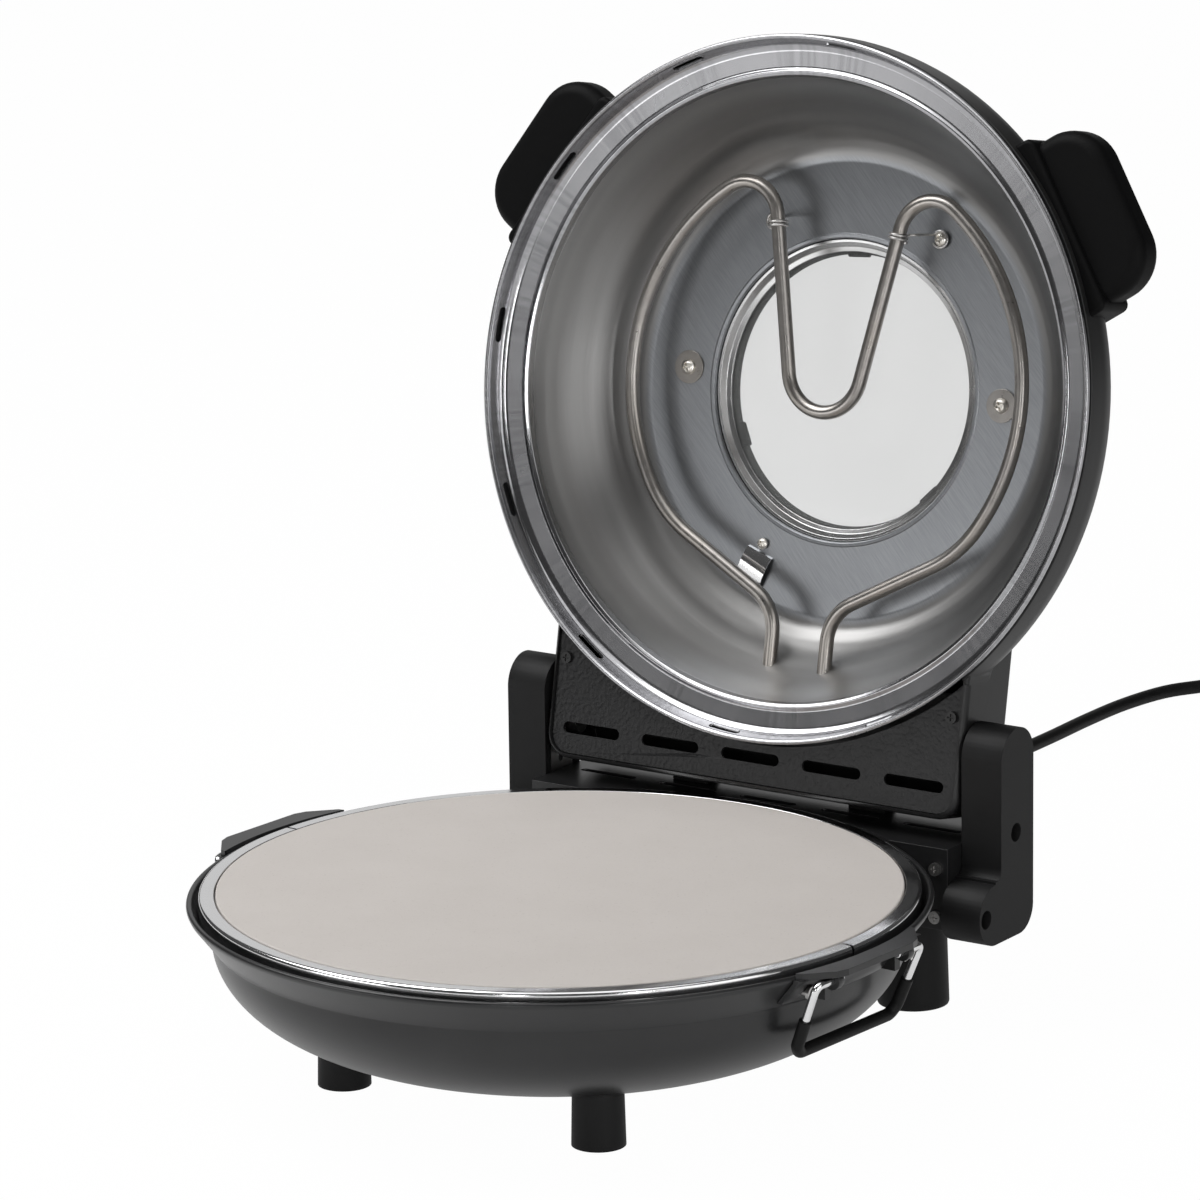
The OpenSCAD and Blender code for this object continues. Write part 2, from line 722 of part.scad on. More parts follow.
// Round toughened glass of the lid's window.
module window_glass() {
    color([0.6, 0.7, 0.68, 0.4]) at_lid() translate([0, 0, plate_h + 6.4])
        cylinder(r = window_r - 1.8, h = 4);
}

// Black outer frame of the window, with a collar down to the glass.
module window_bezel() {
    color([0.1, 0.1, 0.1]) at_lid() rotate_extrude()
        polygon([[window_r - 7.9, plate_h + 10.5], [window_r - 1.2, plate_h + 10.5],
            [window_r - 1.2, plate_h + 11.6], [window_r + 10.6, plate_h + 11.6],
            [window_r + 9.6, plate_h + 13.7], [window_r - 6.4, plate_h + 14.1]]);
}

// Upper heating element: one tube, bent in a long loop. Straights are
// drawn a hair thinner than the bends and run a little way into them.
module upper_element() {
    thin = tube_r - 0.03;
    color([0.6, 0.58, 0.56]) at_lid() translate([0, 0, element_h]) {
        bent(u_c, u_r, leg_lean - 180, -leg_lean, tube_r);
        both() {
            bar(flat(leg_0 - 0.5 * leg_dir), flat(leg_0 + (leg_len + 0.5) * leg_dir), thin);
            bent(bend_c, bend_r, bend_end, 180 - leg_lean, tube_r);
            bent(sweep_c, sweep_r, sweep_end - 0.3, bend_end + 0.3, thin);
            bent(hip_c, hip_r, hip_end, sweep_end, tube_r);
            bar(flat(hip_p - 0.5 * run_dir), flat(hip_p + (run_len + 0.5) * run_dir), thin);
            bent([knee_x, knee_y], knee_r, knee_a, 180, tube_r);
            bar([end_x, knee_y + 0.5, 0], [end_x, end_y, 0], thin);
            bar([end_x, end_y + 1, 0], [end_x, pin_y, 0], 1.2);
        }
    }
}

// Ceramic beads that insulate the upper element's end pins.
module upper_bushes() {
    color([0.9, 0.88, 0.82]) at_lid() both()
        translate([end_x, end_y - 0.1, element_h]) rotate([90, 0, 0]) difference() {
            cylinder(r = 2, h = 5);
            translate([0, 0, -1]) cylinder(r = 1.25, h = 7);
        }
}

// Wire clips that tie the upper element back to the plate.
module element_clamps() {
    color([0.7, 0.7, 0.7]) at_lid() both() {
        for (s = [70, 72.5])
            translate([leg_0[0] + s * leg_dir[0], leg_0[1] + s * leg_dir[1], element_h])
                rotate([0, 0, 90 - leg_lean]) rotate([0, 90, 0])
                    rotate_extrude() translate([tube_r + 0.9, 0]) circle(r = 0.85);
        bar([37.5, 77, element_h + 2], [41.8, 77.6, element_h + 8], 0.8);
        translate([41.8, 77.6, element_h + 8]) sphere(r = 0.8);
        bar([41.8, 77.6, element_h + 8], [41.8, 76.6, plate_h - 0.8], 0.8);
        translate([46, 76, plate_h - 1]) difference() {
            cylinder(r = 5, h = 1);
            translate([0, 0, -1]) cylinder(r = 1.55, h = 3);
        }
    }
}

// Screws on the steel liner: two with washers and three small ones.
module liner_screws() {
    color([0.78, 0.78, 0.78]) at_lid() {
        both() {
            translate([87, 2, plate_h - 1]) difference() {
                cylinder(r = 8, h = 1);
                translate([0, 0, -1]) cylinder(r = 2, h = 3);
            }
            translate([87, 2, plate_h - 1]) mirror([0, 0, 1]) screw(3.6, 2.3, 2, 8);
            translate([46, 76, plate_h - 1]) mirror([0, 0, 1]) screw(3.2, 2, 1.5, 4);
        }
        translate([-36, -79.5, plate_h - 1]) mirror([0, 0, 1]) screw(2.7, 1.8, 1.5, 4);
    }
}

// Bent polished clip on the plate beside the window.
module sensor_clip() {
    color([0.85, 0.85, 0.85]) at_lid() difference() {
        union() {
            translate([-41, -84, plate_h - 1]) cube([10, 9, 1]);
            translate([-41, -86, plate_h - 6]) cube([10, 2, 6]);
            translate([-46, -102, plate_h - 6]) cube([15, 17, 1]);
            translate([-46, -103, plate_h - 6]) cube([15, 1.2, 4.5]);
        }
        translate([-36, -79.5, plate_h - 5]) cylinder(r = 1.55, h = 6);
    }
}

// Slotted steel panel that closes the underside of the neck.
module neck_panel() {
    color([0.14, 0.14, 0.14]) at_lid() difference() {
        translate([0, 0, 7]) linear_extrude(1.5) {
            translate([2.6 - neck_x, -176]) square([2 * neck_x - 5.2, 56]);
            translate([12 - neck_x, -185.3]) square([2 * neck_x - 24, 65]);
            for (s = [-1, 1]) translate([s * (neck_x - 12), -176]) circle(r = 9.3);
        }
        cylinder(r = lid_r + 1.5, h = 20);
        for (k = [-2:2]) translate([k * 44.9, -173, 6]) slot(32, 5.4, 4);
        for (x = [-107, 107]) translate([x, -140, 6]) cylinder(r = 1.55, h = 4);
    }
}

// Screws and posts that hold the neck panel.
module panel_screws() {
    color([0.2, 0.2, 0.2]) at_lid() for (x = [-107, 107]) translate([x, -140, 7]) {
        mirror([0, 0, 1]) screw(2.8, 1.6, 1.5, 1.6);
        translate([0, 0, 1.6]) cylinder(r = 4, h = neck_t - 2.4 - 8.6);
    }
}

// Solid moulded grip on the lid's shoulder, its foot T along the edge.
module grip(s) {
    color([0.1, 0.1, 0.1]) at_lid() difference() {
        rotate([0, 0, -s * grip_a]) translate([0, lid_r, 0]) {
            translate([0, 0, 11]) linear_extrude(20) {
                translate([-41, -15.3]) square([82, 24]);
                translate([-19, -15.3]) square([38, 46.5]);
                translate([-19, 9.2]) circle(r = 22);
                translate([19, 9.2]) circle(r = 22);
            }
            translate([-44, -17.3, 7.5]) cube([88, 21, 25]);
        }
        dome_out();
        translate([0, 0, -1]) cylinder(r = lid_r + 3.35, h = 9);
        rotate([0, 0, -s * grip_a]) for (t = [-28, 28])
            translate([t, lid_r - 3.3, 22]) cylinder(r = 1.53, h = 14);
    }
}

module grip_left() {
    grip(-1);
}

module grip_right() {
    grip(1);
}

// Screws through the back of each grip into the cover.
module grip_screws() {
    color([0.2, 0.2, 0.2]) at_lid() for (s = [-1, 1]) rotate([0, 0, -s * grip_a])
        for (t = [-28, 28]) translate([t, lid_r - 3.3, 32.5]) screw(3.2, 1.9, 1.5, 10);
}

// Thermostat body under the neck's top, with a bore for the knob's shaft.
module thermostat() {
    color([0.3, 0.3, 0.3]) at_lid() difference() {
        union() {
            translate([78, -155, 24]) cube([24, 24, neck_t - 2.5 - 24]);
            translate([66, -147, 27]) cube([13, 8, 1.5]);
        }
        translate([90, -143, 32]) cylinder(r = 3.06, h = 20);
    }
}

// Round thermostat knob with its shaft.
module knob() {
    color([0.1, 0.1, 0.1]) at_lid() translate([90, -143, 0]) {
        translate([0, 0, 33]) cylinder(r = 3, h = neck_t - 32);
        translate([0, 0, neck_t + 0.5]) cylinder(r1 = 17, r2 = 16, h = 5);
        translate([0, 0, neck_t + 5.5]) cylinder(r1 = 14, r2 = 13, h = 9);
        translate([-2, -15.5, neck_t + 5.5]) cube([4, 31, 9.6]);
    }
}

// Two pilot lamp lenses in the neck's top.
module pilot_lamps() {
    color([0.8, 0.3, 0.1]) at_lid() for (x = [-90, -72]) translate([x, -143, neck_t]) {
        cylinder(r1 = 5.5, r2 = 4.8, h = 2);
        translate([0, 0, -6]) cylinder(r = 4, h = 6.1);
    }
}

// Rubber gland in the back of the box that flares round the cord.
module cord_gland() {
    color([0.06, 0.06, 0.06]) at_base() translate([gland_x, 0, gland_z]) rotate([-90, 0, 0])
        difference() {
            union() {
                translate([0, 0, 198]) cylinder(r = 7.9, h = 7);
                translate([0, 0, box_y1 + 0.05]) cylinder(r = 10.5, h = 3);
                translate([0, 0, box_y1 + 3]) cylinder(r1 = 8, r2 = 5, h = 30);
            }
            translate([0, 0, 225]) cylinder(r = cord_r + 0.02, h = 20);
            translate([0, 0, 231]) cylinder(r = cord_r + 0.35, h = 20);
        }
}

// Catmull-Rom point between route points i and i + 1.
function at(i) = route[max(0, min(len(route) - 1, i))];
function spline(i, t) = 0.5 * (2 * at(i) + (at(i + 1) - at(i - 1)) * t
    + (2 * at(i - 1) - 5 * at(i) + 4 * at(i + 1) - at(i + 2)) * t * t
    + (3 * at(i) - 3 * at(i + 1) + at(i + 2) - at(i - 1)) * t * t * t);
function unit(v) = v / norm(v);
line = concat([for (i = [0:len(route) - 2]) for (k = [0:spans - 1]) spline(i, k / spans)],
    [at(len(route) - 1)]);
last = len(line) - 1;
function heading(i) = unit(line[min(last, i + 1)] - line[max(0, i - 1)]);
function across(i) = unit(cross(heading(i), [0.3, -0.2, 1]));
function ring(i) = [for (k = [0:sides - 1])
    line[i] + cord_r * (cos(k * 360 / sides) * across(i)
        + sin(k * 360 / sides) * cross(heading(i), across(i)))];

// Mains cord, swept along its route.
module cord() {
    pts = [for (i = [0:last]) each ring(i)];
    skin = [for (i = [0:last - 1]) for (k = [0:sides - 1])
        [i * sides + k, i * sides + (k + 1) % sides,
         (i + 1) * sides + (k + 1) % sides, (i + 1) * sides + k]];
    ends = [[for (k = [sides - 1:-1:0]) k], [for (k = [0:sides - 1]) last * sides + k]];
    color([0.05, 0.05, 0.05]) at_base() polyhedron(pts, concat(skin, ends));
}

// The rest of the cord, wound flat on the table with a second layer on top.
module cord_coil() {
    d = 2 * cord_r * 0.9;
    color([0.05, 0.05, 0.05]) at_base() translate([coil_c[0], coil_c[1], 0]) rotate_extrude() {
        for (k = [-1.5:1.5]) for (z = [1, 2.9])
            translate([coil_r + k * d, z * cord_r]) circle(r = cord_r);
    }
}

// Moulded mains plug with two round pins, lying beside the coil.
module plug() {
    color([0.06, 0.06, 0.06]) at_base()
        translate([coil_c[0] + plug_off[0], coil_c[1] + plug_off[1], 12]) rotate([0, 90, 0]) {
        cylinder(r1 = 4.5, r2 = 9, h = 24);
        translate([0, 0, 23]) cylinder(r1 = 11.5, r2 = 12, h = 27);
        for (y = [-9.5, 9.5])
            translate([0, y * 0.8, 49]) cylinder(r = 2.4, h = 20);
    }
}

base_bowl();
stone_pan();
pizza_stone();
lower_element();
lower_bushes();
lower_rests();
thermal_cutout();
foot_front_left();
foot_front_right();
foot_rear_left();
foot_rear_right();
foot_screws();
hinge_box();
hinge_box_plate();
box_screws();
terminal_block();
stop_pads();
arm_left();
arm_right();
hinge_plate_left();
hinge_plate_right();
arm_screws();
plate_screws();
hinge_pin_left();
hinge_pin_right();
bracket_left();
bracket_right();
bracket_screws();
bail_wire_left();
bail_sleeve_left();
bail_wire_right();
bail_sleeve_right();
lid_cover();
lid_liner();
window_ring();
window_glass();
window_bezel();
upper_element();
upper_bushes();
element_clamps();
liner_screws();
sensor_clip();
neck_panel();
panel_screws();
grip_left();
grip_right();
grip_screws();
thermostat();
knob();
pilot_lamps();
cord_gland();
cord();
cord_coil();
plug();
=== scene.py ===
import math
import bmesh
import bpy
import numpy as np
from mathutils import Matrix, Vector


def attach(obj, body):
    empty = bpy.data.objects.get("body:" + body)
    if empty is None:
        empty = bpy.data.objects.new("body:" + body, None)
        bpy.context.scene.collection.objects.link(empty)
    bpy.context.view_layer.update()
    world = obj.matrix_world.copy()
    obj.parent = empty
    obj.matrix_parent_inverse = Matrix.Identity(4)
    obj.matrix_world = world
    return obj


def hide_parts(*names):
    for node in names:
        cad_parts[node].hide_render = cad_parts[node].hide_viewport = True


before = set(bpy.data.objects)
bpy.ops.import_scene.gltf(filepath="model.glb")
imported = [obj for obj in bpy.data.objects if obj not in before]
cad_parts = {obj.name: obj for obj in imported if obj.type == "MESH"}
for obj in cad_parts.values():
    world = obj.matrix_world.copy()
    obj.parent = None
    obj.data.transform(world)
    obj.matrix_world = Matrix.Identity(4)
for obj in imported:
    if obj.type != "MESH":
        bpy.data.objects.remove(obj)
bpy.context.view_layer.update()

# ---------------------------------------------------------------- Camera
# A long lens, 3 m away, in front of the cooker and to its right. The angles
# are yaw to the left, pitch downwards and a slight roll.
cam_at = Vector((1.6228, -2.4087, 0.9371))
yaw, pitch, roll = math.radians(34.15), math.radians(14.03), math.radians(0.80)
ahead = Vector((
    -math.sin(yaw) * math.cos(pitch), math.cos(yaw) * math.cos(pitch), -math.sin(pitch),
))
level = Vector((math.cos(yaw), math.sin(yaw), 0.0))
down = ahead.cross(level)
cam_x = math.cos(roll) * level + math.sin(roll) * down
cam_y = math.sin(roll) * level - math.cos(roll) * down
cam_data = bpy.data.cameras.new("camera")
cam_data.lens = 198.45
cam_data.sensor_width = 36.0
cam_data.clip_start = 0.05
cam_data.clip_end = 60.0
camera = bpy.data.objects.new("camera", cam_data)
cam_turn = Matrix((cam_x, cam_y, -ahead)).transposed()
camera.matrix_world = Matrix.Translation(cam_at) @ cam_turn.to_4x4()
bpy.context.scene.collection.objects.link(camera)
bpy.context.scene.camera = camera

# ---------------------------------------------------------------- Cord
# Round black rubber flex, 7.2 mm thick. It drops from the gland to the
# table, runs straight back and ends in a coil of five turns and a plug.
bowl_y = -0.0517  # the bowl's axis, from the frame's origin
cord_r = 0.0036
cord_rest = 0.0039  # the lying cord's middle line, above the table


class Shade:
    """A socket in a material's node tree. Arithmetic on it adds Math nodes."""

    def __init__(self, tree, socket):
        self.tree = tree
        self.socket = socket

    def math(self, kind, *others):
        """Adds a Math node of that kind on this value and the others."""
        node = self.tree.nodes.new("ShaderNodeMath")
        node.operation = kind
        for pin, value in zip(node.inputs, (self, *others)):
            plug_in(self.tree, pin, value)
        return Shade(self.tree, node.outputs[0])

    def __add__(self, other):
        return self.math("ADD", other)

    def __radd__(self, other):
        return self.math("ADD", other)

    def __sub__(self, other):
        return self.math("SUBTRACT", other)

    def __rsub__(self, other):
        return self.math("MULTIPLY", -1.0) + other

    def __mul__(self, other):
        return self.math("MULTIPLY", other)

    def __rmul__(self, other):
        return self.math("MULTIPLY", other)

    def step(self, low, high):
        """0 below low, 1 above high and a smooth ramp between."""
        node = self.tree.nodes.new("ShaderNodeMapRange")
        node.interpolation_type = "SMOOTHSTEP"
        plug_in(self.tree, node.inputs["Value"], self)
        node.inputs["From Min"].default_value = low
        node.inputs["From Max"].default_value = high
        return Shade(self.tree, node.outputs["Result"])


def plug_in(tree, pin, value):
    """Links a Shade into a pin, or writes a constant on it."""
    if isinstance(value, Shade):
        tree.links.new(value.socket, pin)
    else:
        pin.default_value = value


class Finish:
    """A Principled material that is built up from procedural layers."""

    def __init__(self, name, **constants):
        self.material = bpy.data.materials.new(name)
        self.material.use_nodes = True
        self.tree = self.material.node_tree
        self.skin = self.tree.nodes["Principled BSDF"]
        self.relief = None
        self.set(**constants)

    def node(self, kind, out=0, settings=(), **pins):
        """Adds any node. Pins are named with _ for a space."""
        made = self.tree.nodes.new(kind)
        for key, value in dict(settings).items():
            setattr(made, key, value)
        for key, value in pins.items():
            plug_in(self.tree, made.inputs[key.replace("_", " ")], value)
        return Shade(self.tree, made.outputs[out])

    def place(self):
        """Where the point is in the object's own space, in metres."""
        return self.node("ShaderNodeTexCoord", "Object")

    def own(self, name):
        """A vector that the mesh carries at each vertex."""
        return self.node("ShaderNodeAttribute", "Vector", {"attribute_name": name})

    def split(self, vector):
        """The three parts of a vector."""
        made = self.tree.nodes.new("ShaderNodeSeparateXYZ")
        plug_in(self.tree, made.inputs[0], vector)
        return [Shade(self.tree, s) for s in made.outputs]

    def join(self, x, y, z):
        """A vector of three parts."""
        return self.node("ShaderNodeCombineXYZ", X=x, Y=y, Z=z)

    def noise(self, where, scale, detail=2.0, rough=0.5):
        """Noise from 0 to 1 at that scale per metre."""
        return self.node(
            "ShaderNodeTexNoise", 0, Vector=where, Scale=scale, Detail=detail, Roughness=rough,
        )

    def mix(self, amount, first, second):
        """The first colour at 0, the second at 1 and a blend between."""
        made = self.tree.nodes.new("ShaderNodeMix")
        made.data_type = "RGBA"
        plug_in(self.tree, made.inputs[0], amount)
        for pin, colour in zip((made.inputs[6], made.inputs[7]), (first, second)):
            plug_in(self.tree, pin, colour if isinstance(colour, Shade) else (*colour, 1.0))
        return Shade(self.tree, made.outputs[2])

    def bump(self, height, depth):
        """Adds relief: height from 0 to 1 stands for depth in metres."""
        made = self.tree.nodes.new("ShaderNodeBump")
        made.inputs["Strength"].default_value = 1.0
        made.inputs["Distance"].default_value = depth
        plug_in(self.tree, made.inputs["Height"], height)
        if self.relief is not None:
            plug_in(self.tree, made.inputs["Normal"], self.relief)
        self.relief = Shade(self.tree, made.outputs[0])
        self.set(Normal=self.relief)

    def set(self, **pins):
        """Sets or links pins of the Principled shader."""
        for key, value in pins.items():
            pin = self.skin.inputs[key.replace("_", " ")]
            if isinstance(value, tuple) and len(value) == 3:
                value = (*value, 1.0)
            plug_in(self.tree, pin, value)


def spline(points, spans):
    """Catmull-Rom line through the points, with spans pieces in each gap."""
    p = np.vstack([2 * points[0] - points[1], points, 2 * points[-1] - points[-2]])
    t = np.linspace(0, 1, spans, endpoint=False)[:, None]
    gaps = [
        0.5 * (
            2 * b + (c - a) * t
            + (2 * a - 5 * b + 4 * c - d) * t**2 + (3 * b - 3 * c + d - a) * t**3
        )
        for a, b, c, d in zip(p, p[1:], p[2:], p[3:])
    ]
    return np.vstack(gaps + [points[-1:]])


coil_r = 0.0468
coil_count = 5.1583  # turns, in two layers
lower_count = 2.4  # turns after which the radius stops falling
upper_start = 2.8  # turns after which it grows again
climb_start, climb_turns = 2.3, 0.4


def coil_turns(centre, start):
    """Clockwise turns t with angle start - 360 t. The radius falls by one cord
    per turn on the table, then grows by one cord per turn in the upper layer."""
    t = np.linspace(0, coil_count, 150)
    inner = coil_r - 2 * cord_r * lower_count
    outwards = inner + 2 * cord_r * np.maximum(t - upper_start, 0)
    r = np.where(t < lower_count, coil_r - 2 * cord_r * t, outwards)
    climb = np.clip((t - climb_start) / climb_turns, 0, 1)
    z = cord_rest + 2 * cord_r * climb * climb * (3 - 2 * climb)
    a = math.radians(start) - 2 * math.pi * t
    return np.stack([centre[0] + r * np.cos(a), centre[1] + r * np.sin(a), z], 1)


cord_route = np.array([
    (-97, 225, 62), (-97, 232, 62), (-97, 243, 62), (-97, 262, 58.5), (-97, 281, 48.5),
    (-97, 297, 33), (-97, 313, 17.5), (-97, 332, 7.6), (-97, 354, 4.1), (-97, 394, 3.9),
    (-97, 446, 3.9), (-97, 502, 3.9), (-97, 558, 3.9), (-97, 606, 3.9), (-98, 648, 3.9),
    (-97, 686, 3.9),
    (-91, 720, 3.9), (-79, 742, 3.9), (-65, 764, 3.9),
]) / 1000
coil_centre = (-0.0128, 0.7585)
coil_entry = 147.0  # degrees from X
coil = coil_turns(coil_centre, coil_entry)
plug_r = 0.012
plug_off = (0.022, 0.0463)
plug_at = np.array([coil_centre[0] + plug_off[0], coil_centre[1] + plug_off[1], plug_r])
lead = np.array([plug_at - (0.009, 0, 0.0003), plug_at + (0.001, 0, 0)])
free_run = spline(np.vstack([cord_route, coil[:1]]), 5)[:-1]
cord_line = np.vstack([free_run, coil, lead])
cord_line[:, 1] += bowl_y

cord_curve = bpy.data.curves.new("mains_cord", "CURVE")
cord_curve.dimensions = "3D"
cord_curve.bevel_depth = cord_r
cord_curve.bevel_resolution = 5
cord_spline = cord_curve.splines.new("POLY")
cord_spline.points.add(len(cord_line) - 1)
cord_spline.points.foreach_set("co", np.hstack([cord_line, np.ones((len(cord_line), 1))]).ravel())
cord_spline.use_smooth = True
mains_cord = bpy.data.objects.new("mains_cord", cord_curve)
bpy.context.scene.collection.objects.link(mains_cord)
rubber = Finish("black_rubber", Specular_IOR_Level=0.16)
bloom = rubber.noise(rubber.place(), 260.0, 4.0)
rubber.set(Base_Color=rubber.mix(bloom, (0.0045, 0.0045, 0.0045), (0.009, 0.009, 0.009)))
rubber.set(Roughness=0.42 + 0.16 * bloom)
rubber.bump(rubber.noise(rubber.place(), 2600.0), 0.00004)
cord_curve.materials.append(rubber.material)
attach(mains_cord, "base")
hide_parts("cord", "cord_coil")

# ---------------------------------------------------------------- Plug
# Black plug with two round steel pins, moulded over the cord's end. Ribs
# round its neck let the cord flex.


def fillet(before, corner, after, radius, steps):
    """Points of the arc that rounds a corner. With half the corner's angle h
    it starts r / tan h away, and its centre lies r / sin h inwards."""
    a, b = before - corner, after - corner
    a, b = a / np.linalg.norm(a), b / np.linalg.norm(b)
    half = math.acos(np.clip(a @ b, -1, 1)) / 2
    inward = (a + b) / np.linalg.norm(a + b) * radius / math.sin(half)
    first = a * radius / math.tan(half) - inward
    last = b * radius / math.tan(half) - inward
    sweep = math.pi - 2 * half
    line = []
    for t in np.linspace(0, 1, steps + 1):
        blend = math.sin((1 - t) * sweep) * first + math.sin(t * sweep) * last
        line.append(corner + inward + blend / math.sin(sweep))
    return line


def rounded(corners, closed=False, steps=4):
    """Line through (x, y, fillet radius) corners. A point that falls on the
    one before it is dropped."""
    corners = np.array(corners, float)
    ends = () if closed else (0, len(corners) - 1)
    line = []
    for k, corner in enumerate(corners):
        if corner[2] == 0 or k in ends:
            line.append(corner[:2])
        else:
            after = corners[(k + 1) % len(corners), :2]
            line += fillet(corners[k - 1, :2], corner[:2], after, corner[2], steps)
    line = np.array(line)
    apart = np.linalg.norm(line - np.roll(line, 1, 0), axis=1) > 1e-4
    apart[0] |= not closed
    return line[apart]


def weld(mesh, apart):
    """Merges points closer than apart and turns every face outwards."""
    clean = bmesh.new()
    clean.from_mesh(mesh)
    bmesh.ops.remove_doubles(clean, verts=clean.verts, dist=apart)
    bmesh.ops.recalc_face_normals(clean, faces=clean.faces)
    clean.to_mesh(mesh)
    clean.free()


def piece(name, verts, faces, finish, body, place, slot, stands_for=(), own=None):
    """A mesh piece from points in millimetres, put into the frame by place.
    Faces that meet at more than 35 degrees keep a sharp edge. own is a vector
    for each point, which the finish can read."""
    mesh = bpy.data.meshes.new(name)
    mesh.from_pydata((np.asarray(verts) / 1000).tolist(), [], [list(map(int, f)) for f in faces])
    if own is not None:
        carried = mesh.attributes.new("own", "FLOAT_VECTOR", "POINT")
        carried.data.foreach_set("vector", np.asarray(own, float).ravel())
    weld(mesh, 0.000003)
    mesh.transform(place)
    mesh.materials.append(finish.material)
    mesh.shade_smooth()
    mesh.set_sharp_from_angle(angle=math.radians(35))
    made = bpy.data.objects.new(name, mesh)
    bpy.context.scene.collection.objects.link(made)
    even = made.modifiers.new("even", "WEIGHTED_NORMAL")
    even.keep_sharp = True
    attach(made, body)
    if stands_for:
        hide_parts(*stands_for)
    return made


def lathe(profile, sides=192, closed=True, start=0.0, sweep=360.0):
    """Points and faces of a profile of (r, z) turned about Z. Point i of
    step k sits at (r cos a, r sin a, z) with a = start + sweep k / sides.
    A closed profile runs from its last point back to its first."""
    profile = np.asarray(profile, float)
    whole = sweep == 360.0
    a = np.radians(start + sweep * np.arange(sides + (not whole)) / sides)
    r, z = profile[:, 0], profile[:, 1]
    rings = [np.outer(np.cos(a), r), np.outer(np.sin(a), r), np.tile(z, (len(a), 1))]
    verts = np.stack(rings, 2).reshape(-1, 3)
    n = len(profile)
    faces = []
    for k in range(sides):
        p, q = k * n, (k + 1) % len(a) * n
        faces += [
            (p + i, q + i, q + (i + 1) % n, p + (i + 1) % n)
            for i in range(n if closed else n - 1)
        ]
    if not whole:
        faces += [tuple(range(n))[::-1], tuple(range(len(verts) - n, len(verts)))]
    return verts, faces


def merge(*parts):
    """Several (points, faces) pairs as one pair."""
    verts, faces, count = [], [], 0
    for v, f in parts:
        verts.append(np.asarray(v, float))
        faces += [tuple(i + count for i in face) for face in f]
        count += len(v)
    return np.vstack(verts), faces


def moved(part, matrix):
    """A (points, faces) pair carried by a 4x4 matrix in millimetres."""
    m = np.array(matrix)
    return np.asarray(part[0]) @ m[:3, :3].T + m[:3, 3], part[1]


bowl = Matrix.Translation((0, bowl_y, 0))
along_x = Matrix.Rotation(math.radians(90), 4, "Y")
plug_body = rounded([
    (0, -1, 0), (4.4, -1, 0.4), (4.6, 3, 0.4), (5.8, 3.4, 0.4), (5.8, 5.6, 0.4), (5.0, 6, 0.4),
    (5.0, 8, 0.4), (6.6, 8.4, 0.4), (6.6, 10.6, 0.4), (5.8, 11, 0.4), (5.8, 13, 0.4),
    (7.4, 13.4, 0.4), (7.4, 15.6, 0.4), (6.8, 16, 0.4), (7.4, 22, 3), (11.6, 26, 3),
    (12, 48.5, 1.4), (0, 50, 0),
])
pin_line = rounded([(0, 49, 0), (2.4, 49, 0), (2.4, 68, 1.6), (0, 69, 0)])
pin_off = 7.6
plug_pins = merge(*[
    moved(lathe(pin_line, 32, False), Matrix.Translation((0, y, 0))) for y in (-pin_off, pin_off)
])
plug_place = Matrix.Translation((plug_at[0], plug_at[1] + bowl_y, plug_at[2])) @ along_x
plug_shell = piece(
    "plug_shell", *lathe(plug_body, 64, False), rubber, "base", plug_place,
    "black_rubber", ("plug",),
)
steel = Finish("plated_steel", Metallic=1.0)
scuff = steel.noise(steel.place(), 900.0, 4.0)
steel.set(Base_Color=steel.mix(scuff, (0.42, 0.41, 0.40), (0.62, 0.61, 0.60)))
steel.set(Roughness=0.24 + 0.16 * scuff)
steel.bump(scuff, 0.00001)
plug_prongs = piece("plug_prongs", *plug_pins, steel, "base", plug_place, "plain_steel")

# ---------------------------------------------------------------- Cord gland
# Soft moulded relief, snapped into the back of the hinge box. Its tail has
# rings cut into it so that it bends with the cord.
gland_line = [
    (0, -5, 0), (7.9, -5, 0.3), (7.9, 0.1, 0.2), (10.5, 0.1, 0.6), (10.5, 3.2, 0.8),
    (8.1, 3.4, 0.5),
]
gland_rings, ring_pitch, ring_taper = 5, 5.2, 0.55
for k in range(gland_rings):
    out, up = 8.0 - ring_taper * k, 6.0 + ring_pitch * k
    gland_line += [(out, up, 0.3), (out - 0.9, up + 0.5, 0.3)]
    gland_line += [(out - 1.0, up + 2.2, 0.3), (out - 0.3, up + 2.6, 0.3)]
gland_line += [(5.0, 32.6, 0.5), (3.7, 33, 0.2), (3.7, 24, 0)]
gland_at = (-0.097, 0.204, 0.062)
gland_place = bowl @ Matrix.Translation(gland_at) @ Matrix.Rotation(math.radians(-90), 4, "X")
gland_part = lathe(rounded(gland_line), 64, False)
piece("gland_body", *gland_part, rubber, "base", gland_place, "black_rubber", ("cord_gland",))

# ---------------------------------------------------------------- Bowl
# Pressed steel bowl under satin black enamel. The wall is a quarter ellipse
# up to a crease, then a cone up to a rolled lip.
enamel = Finish("black_enamel", Specular_IOR_Level=0.4, Coat_Roughness=0.22)
flow = enamel.noise(enamel.place(), 40.0, 3.0)
specks = enamel.noise(enamel.place(), 1500.0, 2.0)
enamel.set(Base_Color=enamel.mix(flow, (0.0085, 0.0085, 0.009), (0.013, 0.013, 0.0135)))
enamel.set(Roughness=0.30 + 0.06 * flow + 0.05 * specks, Coat_Weight=0.10 + 0.12 * flow)
enamel.bump(specks, 0.000012)
sheet = 2.0
floor_r = 70.0
wall_w, wall_h = 87.5, 50.0
crease_z = 70.5
lip_at, lip_r = (167.05, 85.55), 1.45
wall_turn = np.radians(np.arange(0, 90.1, 2.5))
wall_x, wall_z = np.sin(wall_turn), np.cos(wall_turn)
outside = np.stack([floor_r + wall_w * wall_x, crease_z - wall_h * wall_z], 1)
